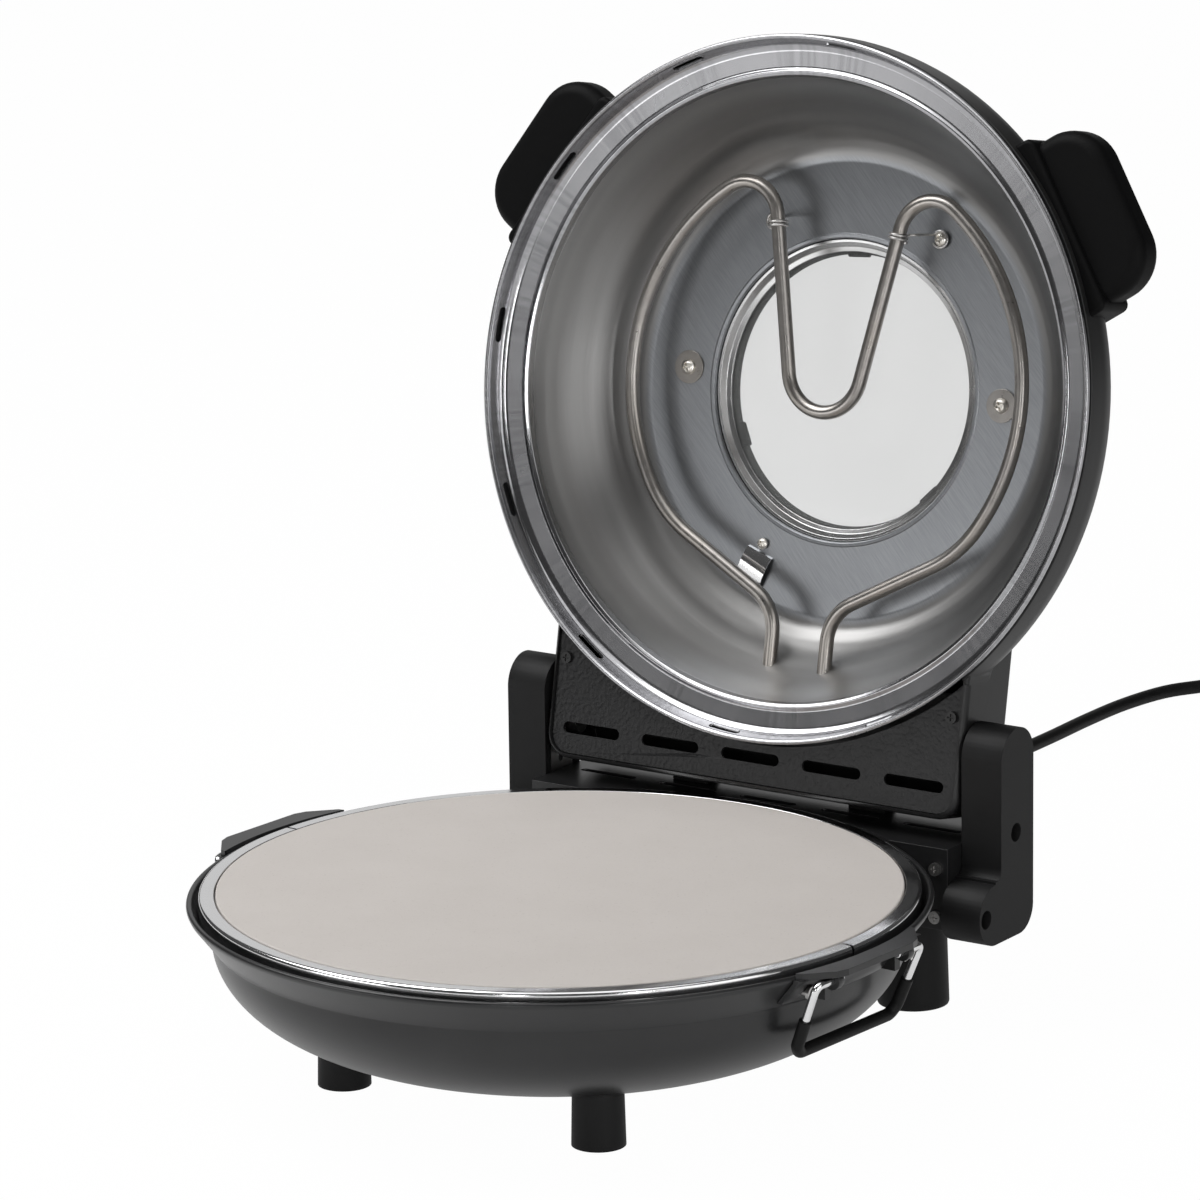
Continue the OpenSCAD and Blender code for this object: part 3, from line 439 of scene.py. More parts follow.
inner_w, inner_h = wall_w - sheet, wall_h - sheet
inside = np.stack([floor_r + inner_w * wall_x, crease_z - inner_h * wall_z], 1)
lip_turn = np.radians(np.arange(-35, 196, 15))
lip = np.stack([lip_at[0] + lip_r * np.cos(lip_turn), lip_at[1] + lip_r * np.sin(lip_turn)], 1)
crease = rounded([(157.4, 68.5, 0), (157.6, 70.7, 1.2), (167.9, 83.9, 0)], steps=3)
under, over = [(0, crease_z - wall_h)], [(0, crease_z - inner_h)]
wall_line = np.vstack([under, outside[:-1], crease, lip, [(163.9, 81.3)], inside[::-1], over])
bowl_part = lathe(wall_line, 288, False)
piece("bowl_shell", *bowl_part, enamel, "base", bowl, "black_enamel", ("base_bowl",))

# ---------------------------------------------------------------- Stone pan
# Polished steel dish that carries the stone. Its ring is two half hoops
# that meet at a fine seam beside each handle.
base_turn = -4.0  # the handles and the seams stand this far round from X
polish = Finish("polished_sheet", Metallic=1.0, Base_Color=(0.78, 0.78, 0.785))
px, py, pz = polish.split(polish.place())
haze = polish.noise(polish.place(), 60.0, 3.0, 0.5)
hair = polish.noise(polish.join(px * 30.0, py * 900.0, pz * 30.0), 3.0, 3.0)
polish.set(Roughness=0.07 + 0.10 * haze + 0.04 * hair)
ring_line = rounded([
    (155.9, 80.3, 0.2), (155.9, 90.2, 0.5), (163, 90.2, 1.8), (163, 80.9, 0.2), (162, 80.9, 0.2),
    (162, 89.2, 1.0), (156.9, 89.2, 0.5), (156.9, 80.3, 0.2),
], closed=True)
seam, seam_r, seam_turn = 1.4, 160, 0.25
half_hoop = 180.0 - math.degrees(seam / seam_r)
hoops = merge(*[
    lathe(ring_line, 160, True, base_turn + t + seam_turn, half_hoop) for t in (0.0, 180.0)
])
piece("ring_hoops", *hoops, polish, "base", bowl, "polished_sheet")
dish_line = rounded([
    (0, 52.5, 0), (122.4, 52.5, 4), (128.8, 55.7, 4), (143.8, 75.7, 4), (147.4, 79.3, 1),
    (156.5, 79.3, 0.3), (156.5, 80.3, 0.3), (147, 80.3, 2), (143, 76.5, 3), (128, 56.5, 3),
    (122, 53.5, 3), (0, 53.5, 0),
])
dish_part = lathe(dish_line, 160, False)
piece("dish_sheet", *dish_part, polish, "base", bowl, "polished_sheet", ("stone_pan",))

# ---------------------------------------------------------------- Baking stone
# Cordierite disc, fired and sanded flat. It is a warm pale grey with fine
# dark specks, a faint mottle and a slightly rough skin.
stoneware = Finish("baking_stone", Specular_IOR_Level=0.3)
spot = stoneware.place()
mottle = stoneware.noise(spot, 22.0, 4.0, 0.6)
grit = stoneware.noise(spot, 1400.0, 3.0, 0.6)
dust = stoneware.noise(spot, 430.0, 2.0).step(0.63, 0.72)
cells = stoneware.node("ShaderNodeTexVoronoi", "Distance", Vector=spot, Scale=260.0)
dots = 1.0 - cells.step(0.05, 0.11)
tone = stoneware.mix(mottle.step(0.3, 0.7), (0.532, 0.497, 0.469), (0.550, 0.515, 0.487))
tone = stoneware.mix(0.25 * dust, tone, (0.43, 0.39, 0.36))
tone = stoneware.mix(0.35 * dots, tone, (0.26, 0.23, 0.21))
tone = stoneware.mix(0.22 * grit.step(0.35, 0.65), tone, (0.62, 0.59, 0.565))
stoneware.set(Base_Color=tone, Roughness=0.62 + 0.2 * grit)
stoneware.bump(grit, 0.00006)
stone_line = rounded([(0, 80.3, 0), (155.2, 80.3, 1.0), (155.2, 90.5, 0.8), (0, 90.5, 0)])
stone_part = lathe(stone_line, 256, False)
piece("stone_disc", *stone_part, stoneware, "base", bowl, "baking_stone", ("pizza_stone",))

# ---------------------------------------------------------------- Hidden heater parts
# Under the stone: a tubular element on three saddles, with ceramic bushes,
# and a snap disc cut-out on the dish's underside. The ceramic terminal block
# is in the hinge box.


def dress(node, finish, edge=0.0, turns=2):
    """Gives a CAD node its finish and, with an edge in mm, rounded edges."""
    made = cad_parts[node]
    made.data.materials.clear()
    made.data.materials.append(finish.material)
    if edge > 0:
        joined = made.modifiers.new("weld", "WELD")
        joined.merge_threshold = 0.000002
        round_off = made.modifiers.new("round", "BEVEL")
        round_off.width = edge / 1000
        round_off.segments = turns
        round_off.limit_method = "ANGLE"
        round_off.angle_limit = math.radians(40)
        round_off.harden_normals = True
        round_off.use_clamp_overlap = True


heater = Finish("heater_tube", Metallic=1.0)
scale_marks = heater.noise(heater.place(), 180.0, 5.0, 0.7)
blueing = heater.noise(heater.place(), 30.0, 2.0).step(0.4, 0.7)
skin = heater.mix(scale_marks, (0.25, 0.236, 0.222), (0.42, 0.40, 0.382))
heater.set(Base_Color=heater.mix(0.3 * blueing, skin, (0.42, 0.38, 0.33)))
heater.set(Roughness=0.22 + 0.16 * scale_marks)
heater.bump(scale_marks, 0.00003)
ceramic = Finish("bush_ceramic", Roughness=0.55)
glaze = ceramic.noise(ceramic.place(), 700.0, 3.0)
ceramic.set(Base_Color=ceramic.mix(glaze, (0.70, 0.67, 0.60), (0.80, 0.78, 0.72)))
ceramic.bump(glaze, 0.00004)
control = Finish("control_body", Specular_IOR_Level=0.45)
pits = control.noise(control.place(), 1200.0, 2.0)
control.set(Base_Color=control.mix(pits, (0.018, 0.018, 0.018), (0.035, 0.035, 0.034)))
control.set(Roughness=0.45 + 0.2 * pits)
control.bump(pits, 0.00004)
dress("lower_element", heater)
dress("lower_bushes", ceramic)
dress("lower_rests", steel)
dress("thermal_cutout", control)
dress("terminal_block", ceramic)

# ---------------------------------------------------------------- Feet
# Four moulded black feet: two short ones under the bowl and two flared ones
# under the hinge box, each with a screw up its middle.
moulding = Finish("black_moulding", Specular_IOR_Level=0.22)
cloud = moulding.noise(moulding.place(), 55.0, 3.0)
spark = moulding.noise(moulding.place(), 3200.0, 2.0)
moulding.set(Base_Color=moulding.mix(cloud, (0.0060, 0.0060, 0.0062), (0.0095, 0.0095, 0.0098)))
moulding.set(Roughness=0.44 + 0.14 * spark + 0.05 * cloud)
moulding.bump(spark, 0.00003)
for side in ("left", "right"):
    dress("foot_front_" + side, moulding, 1.0)
    dress("foot_rear_" + side, moulding, 1.2)
dress("foot_screws", steel)

# ---------------------------------------------------------------- Hinge box
# Folded steel box behind the bowl in the same black enamel, with five slots
# in its top and a screwed flange at its front. The open lid leans on two
# rubber pads on its top.
dress("hinge_box", enamel, 0.7)
dress("hinge_box_plate", enamel)
dress("stop_pads", rubber, 0.5)
dress("box_screws", steel)

# ---------------------------------------------------------------- Hinge arms
# Two thick moulded arms hide steel hinge plates. Long screws sit deep in
# wells on the outer faces, and a steel pin in each arm carries the lid.
screw_black = Finish("black_screws", Metallic=0.6, Base_Color=(0.03, 0.03, 0.03))
wear = screw_black.noise(screw_black.place(), 1600.0, 3.0)
screw_black.set(Roughness=0.3 + 0.25 * wear)
screw_black.bump(wear, 0.00002)
for side in ("left", "right"):
    dress("arm_" + side, moulding, 0.9, 3)
    dress("hinge_plate_" + side, steel)
    dress("hinge_pin_" + side, steel)
dress("arm_screws", screw_black)
dress("plate_screws", steel)

# ---------------------------------------------------------------- Handle brackets
# Black enamelled brackets on the lip, with two lugs under each for the bail
# and plated screws through the skirt.
for side in ("left", "right"):
    dress("bracket_" + side, enamel, 0.5)
dress("bracket_screws", steel)

# ---------------------------------------------------------------- Bail handles
# Bent chromed wire, 3.8 mm thick, hung in the lugs. A black tube is shrunk
# over its lower half.


def bent_line(corners, steps=8):
    """A line in space through (x, y, z, bend radius) corners."""
    corners = np.array(corners, float)
    line = [corners[0, :3]]
    for a, p, b in zip(corners, corners[1:], corners[2:]):
        line += fillet(a[:3], p[:3], b[:3], p[3], steps)
    line.append(corners[-1, :3])
    return np.array(line)


def tube(line, radius, sides=20, end=0.35):
    """Points and faces of a round bar along a line, with softened ends. Each
    ring is carried on from the last one, turned as little as possible."""
    ahead_of = np.gradient(line, axis=0)
    ahead_of /= np.linalg.norm(ahead_of, axis=1)[:, None]
    radii = np.concatenate([[radius - end], np.full(len(line), float(radius)), [radius - end]])
    first, last = line[0] + ahead_of[0] * end, line[-1] - ahead_of[-1] * end
    line = np.vstack([line[0], first, line[1:-1], last, line[-1]])
    ahead_of = np.vstack([ahead_of[0], ahead_of, ahead_of[-1]])
    side = np.cross(ahead_of[0], (0.31, 0.17, 0.93))
    turn = np.linspace(0, 2 * math.pi, sides, endpoint=False)
    verts = []
    for p, w, r in zip(line, ahead_of, radii):
        side = side - w * (side @ w)
        side = side / np.linalg.norm(side)
        verts.append(p + r * (
            np.outer(np.cos(turn), side) + np.outer(np.sin(turn), np.cross(w, side))
        ))
    faces = []
    for k in range(len(line) - 1):
        for j in range(sides):
            a, b = k * sides + j, k * sides + (j + 1) % sides
            faces.append((a, b, b + sides, a + sides))
    faces += [tuple(range(sides))[::-1], tuple(range(len(line) * sides - sides, len(line) * sides))]
    return np.vstack(verts), faces


bail_drop = 36.0
wire_r, sleeve_r = 1.9, 2.9
half_wire = [
    (0, 20.5, 0, 0), (0, 38.9, 0, 3.2), (0, 37.0, -bail_drop + 4.2, 4.5),
    (0, 33.6, -bail_drop, 4.5),
]
wire_line = bent_line([(x, -y, z, r) for x, y, z, r in half_wire] + half_wire[::-1])
sleeve_z = -18.0
low = wire_line[:, 2] < sleeve_z - 1.0
sleeve_line = np.vstack([[(0, -37.95, sleeve_z)], wire_line[low], [(0, 37.95, sleeve_z)]])
bail_r, bail_z, bail_lean = 0.1715, 0.0829, 22.0
turned = bowl @ Matrix.Rotation(math.radians(base_turn), 4, "Z")
for side, sign in (("left", -1), ("right", 1)):
    lean = Matrix.Rotation(math.radians(bail_lean * sign), 4, "Y")
    hang = turned @ Matrix.Translation((sign * bail_r, 0, bail_z)) @ lean
    body = "bail_" + side
    wire, sleeve = tube(wire_line, wire_r), tube(sleeve_line, sleeve_r)
    wire_node, sleeve_node = "bail_wire_" + side, "bail_sleeve_" + side
    piece("bail_loop_" + side, *wire, polish, body, hang, "plain_steel", (wire_node,))
    piece("bail_grip_" + side, *sleeve, rubber, body, hang, "black_rubber", (sleeve_node,))

# ---------------------------------------------------------------- Lid cover
# Moulded black dome and neck in one shell, satin outside. The neck runs back
# between the arms, and soft webs join it to the dome.


def inset(outline, depth):
    """An outline moved inwards by depth along its corner normals. With edge
    normals m and n, a corner moves by depth (m + n) / (1 + m . n)."""
    edge = np.roll(outline, -1, 0) - outline
    edge /= np.linalg.norm(edge, axis=1)[:, None]
    n = np.stack([-edge[:, 1], edge[:, 0]], 1)
    m = np.roll(n, 1, 0)
    return outline + depth * (m + n) / (1 + (m * n).sum(1))[:, None]


def slab(outline, low, high, edge, turns=5):
    """Points and faces of an outline drawn up from low to high, with rounded
    edges: ring t of an edge is inset by e (1 - sin t) at e (1 - cos t)."""
    t = np.radians(np.linspace(0, 90, turns))
    levels = [(edge * (1 - math.sin(a)), low + edge * (1 - math.cos(a))) for a in t]
    levels += [(edge * (1 - math.sin(a)), high - edge * (1 - math.cos(a))) for a in t[::-1]]
    n = len(outline)
    verts = np.vstack([np.column_stack([inset(outline, d), np.full(n, z)]) for d, z in levels])
    faces = [tuple(range(n))[::-1], tuple(range(len(verts) - n, len(verts)))]
    for k in range(0, len(verts) - n, n):
        faces += [(k + i, k + (i + 1) % n, k + n + (i + 1) % n, k + n + i) for i in range(n)]
    return verts, faces


def solid(part):
    """A throwaway object for Booleans, from a (points, faces) pair."""
    mesh = bpy.data.meshes.new("tool")
    mesh.from_pydata(np.asarray(part[0]).tolist(), [], [list(map(int, f)) for f in part[1]])
    weld(mesh, 0.002)
    made = bpy.data.objects.new("tool", mesh)
    bpy.context.scene.collection.objects.link(made)
    return made


def carve(part, *steps):
    """Joins or cuts a (points, faces) pair by others, in order. Each step is
    ("UNION" or "DIFFERENCE", pair)."""
    made = solid(part)
    tools = []
    for kind, pair in steps:
        tools.append(solid(pair))
        cut = made.modifiers.new(kind, "BOOLEAN")
        cut.operation = kind
        cut.solver = "EXACT"
        cut.object = tools[-1]
    result = made.evaluated_get(bpy.context.evaluated_depsgraph_get()).to_mesh()
    verts = np.empty(len(result.vertices) * 3)
    result.vertices.foreach_get("co", verts)
    faces = [tuple(p.vertices) for p in result.polygons]
    for o in (made, *tools):
        mesh = o.data
        bpy.data.objects.remove(o)
        bpy.data.meshes.remove(mesh)
    return verts.reshape(-1, 3), faces


hinge_y, hinge_z = 0.1199, 0.1114
opened = math.radians(-100.8)
lid_y, lid_z = -0.1716, -0.0199  # the lid's centre from the hinge, when closed
lid = Matrix.Translation((0, hinge_y, hinge_z)) @ Matrix.Rotation(opened, 4, "X")
lid = lid @ Matrix.Translation((0, lid_y, lid_z))
dome_line = spline(np.array([
    (165.9, 5.8), (166.1, 12), (166.0, 18), (164.2, 24.5), (158.8, 32), (149.5, 41), (136.5, 51.4),
    (121, 61.0), (105, 67.4), (92, 70.4), (82, 71.4),
]), 4)
inner_line = spline(np.array([
    (82, 69.2), (91.6, 68), (104.4, 65), (119.6, 58.9), (134.6, 49.8), (147.2, 39.6), (156.2, 30.6),
    (161.7, 23.4), (163.6, 17.6), (163.8, 12), (163.8, 5.8),
]), 2)
dome_skin = np.vstack([
    [(165.4, 4.0), (165.8, 4.4)], dome_line, [(71.5, 71.4), (71.5, 69.2)], inner_line,
    [(164.0, 4.0)],
])
dome_core = np.vstack([[(0, 69.2)], inner_line, [(163.8, -2), (0, -2)]])
web_at, web_r = (134.5, 124.1), 20
web = np.radians(np.linspace(222, 180, 8))
web_plan = np.vstack([
    [(106, 98), (119.6, 110.7)],
    np.stack([web_at[0] + web_r * np.cos(web), web_at[1] + web_r * np.sin(web)], 1),
    [(106, 125)],
])
neck_half, neck_back, neck_top, neck_wall = 114.5, 188, 46, 2.4
skirt_z, web_top = 5, 26


def neck_outline(inward, front):
    """The neck's plan, moved inwards, with its back corners rounded."""
    w, back, corner = neck_half - inward, neck_back - inward, 12 - inward
    return rounded([(-w, back, corner), (-w, front, 0), (w, front, 0), (w, back, corner)], True, 8)


cover_shape = carve(
    lathe(dome_skin, 160),
    ("UNION", slab(neck_outline(0, 92), skirt_z, neck_top, 4)),
    ("UNION", slab(web_plan, skirt_z, web_top, 2)),
    ("UNION", slab(web_plan[::-1] * (-1, 1), skirt_z, web_top, 2)),
    ("DIFFERENCE", lathe(dome_core, 160, False)),
    ("DIFFERENCE", slab(neck_outline(neck_wall, 88), -10, neck_top - neck_wall, 2)),
)
cover = Finish("cover_moulding", Specular_IOR_Level=0.3)
cloud = cover.noise(cover.place(), 45.0, 3.0)
spark = cover.noise(cover.place(), 3000.0, 2.0)
cover.set(Base_Color=cover.mix(cloud, (0.011, 0.011, 0.0112), (0.016, 0.016, 0.0163)))
cover.set(Roughness=0.30 + 0.10 * spark + 0.05 * cloud)
cover.bump(spark, 0.00002)
piece("cover_shell", *cover_shape, cover, "lid", lid, "cover_moulding", ("lid_cover",))

# ---------------------------------------------------------------- Lid liner
# Spun stainless liner, about 1 mm thick, set in the cover. It has a rolled
# edge, a slotted cone, a flat ring, a deep wall and an inner plate. The wall
# is turned, and the plate is brushed straight across.
liner_line = rounded([
    (164.5, 3.3, 0), (165.5, 2.4, 0.4), (165.7, 0.6, 0.8), (164.5, -0.2, 0.7), (163.3, 0.7, 0.7),
    (163.2, 2.4, 0.6), (161.2, 8.0, 3.0), (158.6, 9.5, 4.0), (150.4, 10.6, 2), (148.6, 9.7, 0.9),
    (146.9, 10.6, 0.9), (146.2, 14.0, 3), (144.2, 20, 30), (139.6, 30, 60), (132.0, 41, 60),
    (124.5, 50.2, 40), (119, 55.4, 20), (114, 58.6, 12), (108.5, 59.9, 8), (74.4, 59.9, 0.6),
    (73.9, 59.4, 0.4), (72.2, 59.6, 0.7), (71.9, 61.4, 0.5),
], steps=5)
liner_back = np.array([
    (72.9, 61.2), (74.6, 60.8), (109, 60.8), (114.8, 59.5), (120, 56.2), (125.2, 50.9), (133, 41.7),
    (141.2, 30.6), (145.1, 20.4), (147.1, 14.4), (148.0, 12.2), (149.6, 11.6), (159.4, 10.4),
    (161.8, 9.0), (163.6, 4.1),
])
vent = rounded([(-8.5, -1.7, 1.7), (8.5, -1.7, 1.7), (8.5, 1.7, 1.7), (-8.5, 1.7, 1.7)], True, 6)
vent_count, vent_start, vent_at = 12, 5, (157, 0, 5)
upright = Matrix.Rotation(math.radians(90), 4, "Z")
vents = []
for k in range(vent_count):
    round_lid = Matrix.Rotation(math.radians(vent_start + 360 / vent_count * k), 4, "Z")
    aim = round_lid @ Matrix.Translation(vent_at) @ along_x @ upright
    vents.append(moved(slab(vent, 0, 12, 0.01, 2), aim))
liner_shape = carve(lathe(np.vstack([liner_line, liner_back]), 240), ("DIFFERENCE", merge(*vents)))
# Each point carries its cosine, its sine and its radius in metres, so that
# the turned marks run round the lid's axis.
across = liner_shape[0][:, :2]
reach = np.hypot(across[:, 0], across[:, 1])
bearing = np.column_stack([across / reach[:, None], reach / 1000])
steel_skin = Finish("liner_steel", Metallic=1.0)
ca, sa, r = steel_skin.split(steel_skin.own("own"))
turning = steel_skin.noise(steel_skin.join(ca * 2.0, sa * 2.0, r * 1400.0), 1.0, 5.0, 0.65)
bands = steel_skin.noise(steel_skin.join(ca * 0.5, sa * 0.5, r * 95.0), 1.0, 3.0)
rays = steel_skin.noise(steel_skin.join(ca * 70.0, sa * 70.0, r * 8.0), 1.0, 2.0, 0.5)
patches = steel_skin.noise(steel_skin.join(ca * 5.0, sa * 5.0, r * 6.0), 1.0, 1.0)
px, py, pz = steel_skin.split(steel_skin.place())
over_brush = (px + pz) * 1500.0
brush = steel_skin.noise(steel_skin.join(over_brush, (px - pz) * 45.0, py * 45.0), 1.0, 3.0, 0.7)
smear = steel_skin.noise(steel_skin.place(), 26.0, 4.0)
# The plate, the wall, the rim and its two beads are told apart by radius.
plate = 1.0 - r.step(0.1085, 0.1125)
rim = r.step(0.1465, 0.1475)
wall = (1.0 - plate) * (1.0 - rim)
inner_bead = r.step(0.1452, 0.1465) * (1.0 - r.step(0.1497, 0.1507))
outer_bead = r.step(0.1575, 0.159) * (1.0 - r.step(0.1615, 0.1625))
tone = steel_skin.mix(bands, (0.19, 0.188, 0.186), (0.33, 0.327, 0.323))
# Painted light: the wall is painted lighter towards the rim, so that it stays darker deeper down as
# painted shade.
tone = steel_skin.mix(0.8 * r.step(0.135, 0.145), tone, (0.44, 0.436, 0.432))
tone = steel_skin.mix(plate, tone, (0.27, 0.28, 0.295))
tone = steel_skin.mix(rim, tone, (0.40, 0.40, 0.412))
streaks = rays.step(0.30, 0.70) * patches.step(0.35, 0.65) * rim
tone = steel_skin.mix(0.5 * streaks, tone, (0.22, 0.22, 0.23))
tone = steel_skin.mix(0.26 * brush.step(0.30, 0.70) * plate, tone, (0.50, 0.51, 0.53))
steel_skin.set(Base_Color=tone)
sheen = 0.15 + 0.08 * smear + wall * (0.15 + 0.06 * turning) + plate * (0.17 + 0.06 * brush)
steel_skin.set(Roughness=sheen + rim * 0.07 - 0.12 * (inner_bead + outer_bead))
steel_skin.bump(turning * wall + brush * plate * 0.9, 0.00003)
piece("liner_shell", *liner_shape, steel_skin, "lid", lid, "liner_steel", ("lid_liner",), bearing)

# ---------------------------------------------------------------- Window
# Round toughened glass, held from inside by a bright steel ring and from
# outside by a black frame with small lugs.
glass = Finish("window_glass", Roughness=0.04, Alpha=0.22, Specular_IOR_Level=0.25)
film = glass.noise(glass.place(), 14.0, 3.0)
glass.set(Base_Color=glass.mix(film, (0.36, 0.37, 0.365), (0.40, 0.41, 0.405)))
glass.set(Coat_Weight=0.06 * film)
glass_line = rounded([(0, 66.3, 0), (70.6, 66.3, 0.5), (70.6, 70.3, 0.5), (0, 70.3, 0)])
pane_part = lathe(glass_line, 128, False)
piece("window_pane", *pane_part, glass, "lid", lid, "window_glass", ("window_glass",))
satin = Finish("satin_ring", Metallic=1.0)
rub = satin.noise(satin.place(), 120.0, 3.0)
satin.set(Base_Color=satin.mix(rub, (0.46, 0.46, 0.46), (0.58, 0.58, 0.58)))
satin.set(Roughness=0.20 + 0.10 * rub)
clamp_line = rounded([
    (71.7, 61.5, 0.3), (71.4, 66.2, 0.2), (66.0, 66.2, 0.3), (65.8, 64.9, 0.4), (68.2, 64.3, 0.8),
    (70.2, 61.7, 0.4),
], True)
clamp_part = lathe(clamp_line, 192)
piece("window_clamp", *clamp_part, satin, "lid", lid, "polished_sheet", ("window_ring",))
frame_line = rounded([
    (64.5, 70.4, 0.2), (71.2, 70.4, 0.2), (71.2, 71.5, 0), (83, 71.5, 0.5), (82.4, 73.4, 1.0),
    (66.5, 74.2, 1.5),
], True)
lug_plan = rounded([(63.2, -6, 1), (68, -6, 0), (68, 6, 0), (63.2, 6, 1)], True)
lug = slab(lug_plan, 69.6, 71.4, 0.2, 3)
lugs = [moved(lug, Matrix.Rotation(math.radians(-a), 4, "Z")) for a in (94, 205, 316)]
frame_part = merge(lathe(frame_line, 160), *lugs)
piece("window_frame", *frame_part, cover, "lid", lid, "cover_moulding", ("window_bezel",))

# ---------------------------------------------------------------- Upper element
# One 6.8 mm steel sheathed tube, bent in a loop round the window. Its ends
# pass through the deep wall into ceramic beads.


def arc(centre, radius, start, end, steps):
    """Points on a circle from one angle to another, in degrees."""
    a = np.radians(np.linspace(start, end, steps))
    return np.stack([centre[0] + radius * np.cos(a), centre[1] + radius * np.sin(a)], 1)


def unit(angle):
    """The direction at an angle in degrees from X."""
    return np.array([math.cos(math.radians(angle)), math.sin(math.radians(angle))])


element_r, element_z = 3.4, 41.5
u_at, u_r = np.array([0, 9.5]), 20
leg_lean = 11
shoulder_r = 18
sweep_at, sweep_r = np.array([0, 3]), 107.5
hip_r, hip_start, hip_end = 60, -33, -61.5
knee_x, knee_r = 37.2, 22
end_y = -136.5
join_gap = 1.5  # degrees left out where the large sweep meets its neighbours
leg_dir, leg_side = unit(90 - leg_lean), unit(-leg_lean)
leg_foot = u_at + u_r * leg_side
shoulder_foot = leg_foot + shoulder_r * leg_side
# The shoulder's centre slides along the leg until its arc touches the sweep's:
# then the two centres lie sweep_r - shoulder_r apart.
off = shoulder_foot - sweep_at
along = off @ leg_dir
leg_len = -along + math.sqrt(along**2 - off @ off + (sweep_r - shoulder_r)**2)
shoulder = shoulder_foot + leg_len * leg_dir
arm = shoulder - sweep_at
sweep_start = math.degrees(math.atan2(arm[1], arm[0]))
hip = sweep_at + (sweep_r - hip_r) * unit(hip_start)
run_foot = hip + hip_r * unit(hip_end)
# The straight run leaves the hip at a right angle to its last radius and ends
# where the knee's arc begins.
run_dir = unit(hip_end - 90)
knee_start = hip_end + 180
run_len = (knee_x + knee_r * unit(knee_start)[0] - run_foot[0]) / run_dir[0]
knee_y = run_foot[1] + run_len * run_dir[1] - knee_r * unit(knee_start)[1]
half_loop = np.vstack([
    arc(u_at, u_r, -90, -leg_lean, 14),
    arc(shoulder, shoulder_r, 180 - leg_lean, sweep_start, 22),
    arc(sweep_at, sweep_r, sweep_start - join_gap, hip_start + join_gap, 44),
    arc(hip, hip_r, hip_start, hip_end, 10),
    arc((knee_x, knee_y), knee_r, knee_start, 180, 10),
    [(knee_x - knee_r, end_y)],
])
loop = np.vstack([half_loop[::-1], half_loop[1:] * (-1, 1)]) * (1, -1)
loop = np.column_stack([loop, np.full(len(loop), element_z)])
loop_part = tube(loop, element_r, 28)
piece("element_tube", *loop_part, heater, "lid", lid, "heater_tube", ("upper_element",))
dress("upper_bushes", ceramic)

# ---------------------------------------------------------------- Liner fittings
# Wire ties hold the tube's bends back to the plate. Of the five cross head
# screws two sit on washers, two hold the ties and one holds the polished clip
# that covers the sensor's bulb.


def screw_top(radius, height, place):
    """A pan head with a cross recess, its rim on z = 0 and its top at height."""
    head = lathe(rounded([
        (0, -0.2, 0), (radius, -0.2, 0.1), (radius, height * 0.45, height * 0.3),
        (radius * 0.62, height, radius * 0.5), (0, height, 0),
    ]), 40, False)
    x, y = 0.62, 0.16
    bar = rounded([(-x, -y, 0.1), (x, -y, 0.1), (x, y, 0.1), (-x, y, 0.1)], True, 2) * radius
    groove = slab(bar, height * 0.35, height + 1, 0.02, 2)
    cross = [("DIFFERENCE", moved(groove, Matrix.Rotation(a, 4, "Z"))) for a in (0.4, 1.97)]
    return moved(carve(head, *cross), place)


plating = Finish("screw_plating", Metallic=1.0)
dull = plating.noise(plating.place(), 1500.0, 3.0)
plating.set(Base_Color=plating.mix(dull, (0.66, 0.63, 0.57), (0.88, 0.85, 0.80)))
plating.set(Roughness=0.24 + 0.14 * dull)
plating.bump(dull, 0.00001)
seat_z = 58.9
plate_screw, tie_screw, clip_screw = (87, -2), (46, -76), (-36, 77.5)
facing = Matrix.Rotation(math.pi, 4, "X")
heads = []
for (x, y), head_r, head_h in ((plate_screw, 3.6, 2.3), (tie_screw, 3.2, 2.0)):
    for s in (-1, 1):
        heads.append(screw_top(head_r, head_h, Matrix.Translation((s * x, y, seat_z)) @ facing))
heads.append(screw_top(2.7, 1.8, Matrix.Translation((*clip_screw, seat_z)) @ facing))
piece("liner_screw_heads", *merge(*heads), plating, "lid", lid, "plain_steel", ("liner_screws",))
washer = lathe(rounded([(2.2, 0, 0.1), (8, 0, 0.2), (8, 1.0, 0.2), (2.2, 1.0, 0.1)], True), 64)
x, y = plate_screw
washers = [moved(washer, Matrix.Translation((s * x, y, seat_z))) for s in (-1, 1)]
piece("liner_washers", *merge(*washers), heater, "lid", lid, "plain_steel")
# A tie is a helix round the leg, a short run to the plate and a hook round
# the screw. Like half_loop, it is drawn with its Y turned round.
tie_along, tie_wire_r, wrap_r, wrap_pitch = 71.2, 0.7, 4.15, 3.6
hook_r, hook_z = 3.9, 58.2
turn = np.linspace(0, 4.3 * math.pi, 60)
wrap = wrap_r * np.cos(turn)[:, None] * np.append(leg_side, 0)
wrap = wrap + wrap_r * np.sin(turn)[:, None] * (0, 0, 1)
wrap = wrap + np.append(leg_foot + tie_along * leg_dir, element_z)
wrap = wrap + (turn[:, None] / turn[-1] - 0.5) * wrap_pitch * np.append(leg_dir, 0)
eye = np.radians(np.linspace(150, -150, 26))
hook_x = tie_screw[0] + hook_r * np.cos(eye)
hook_y = -tie_screw[1] + hook_r * np.sin(eye)
hook = np.stack([hook_x, hook_y, np.full(len(eye), hook_z)], 1)
run = spline(np.array([wrap[-1], (39.5, 77.2, 46.6), (41.6, 77.8, 54), hook[0]]), 8)
tie = np.vstack([wrap, run[1:-1], hook])
ties = [tube(tie * (s, -1, 1), tie_wire_r, 12, 0.2) for s in (-1, 1)]
piece("tube_ties", *merge(*ties), steel, "lid", lid, "plain_steel", ("element_clamps",))
clip_at, clip_turn, clip_half = (-39.5, 89, 0), 20, 7.3
bow_half, bow_top, bow_drop = 7.8, 56.6, 1.3
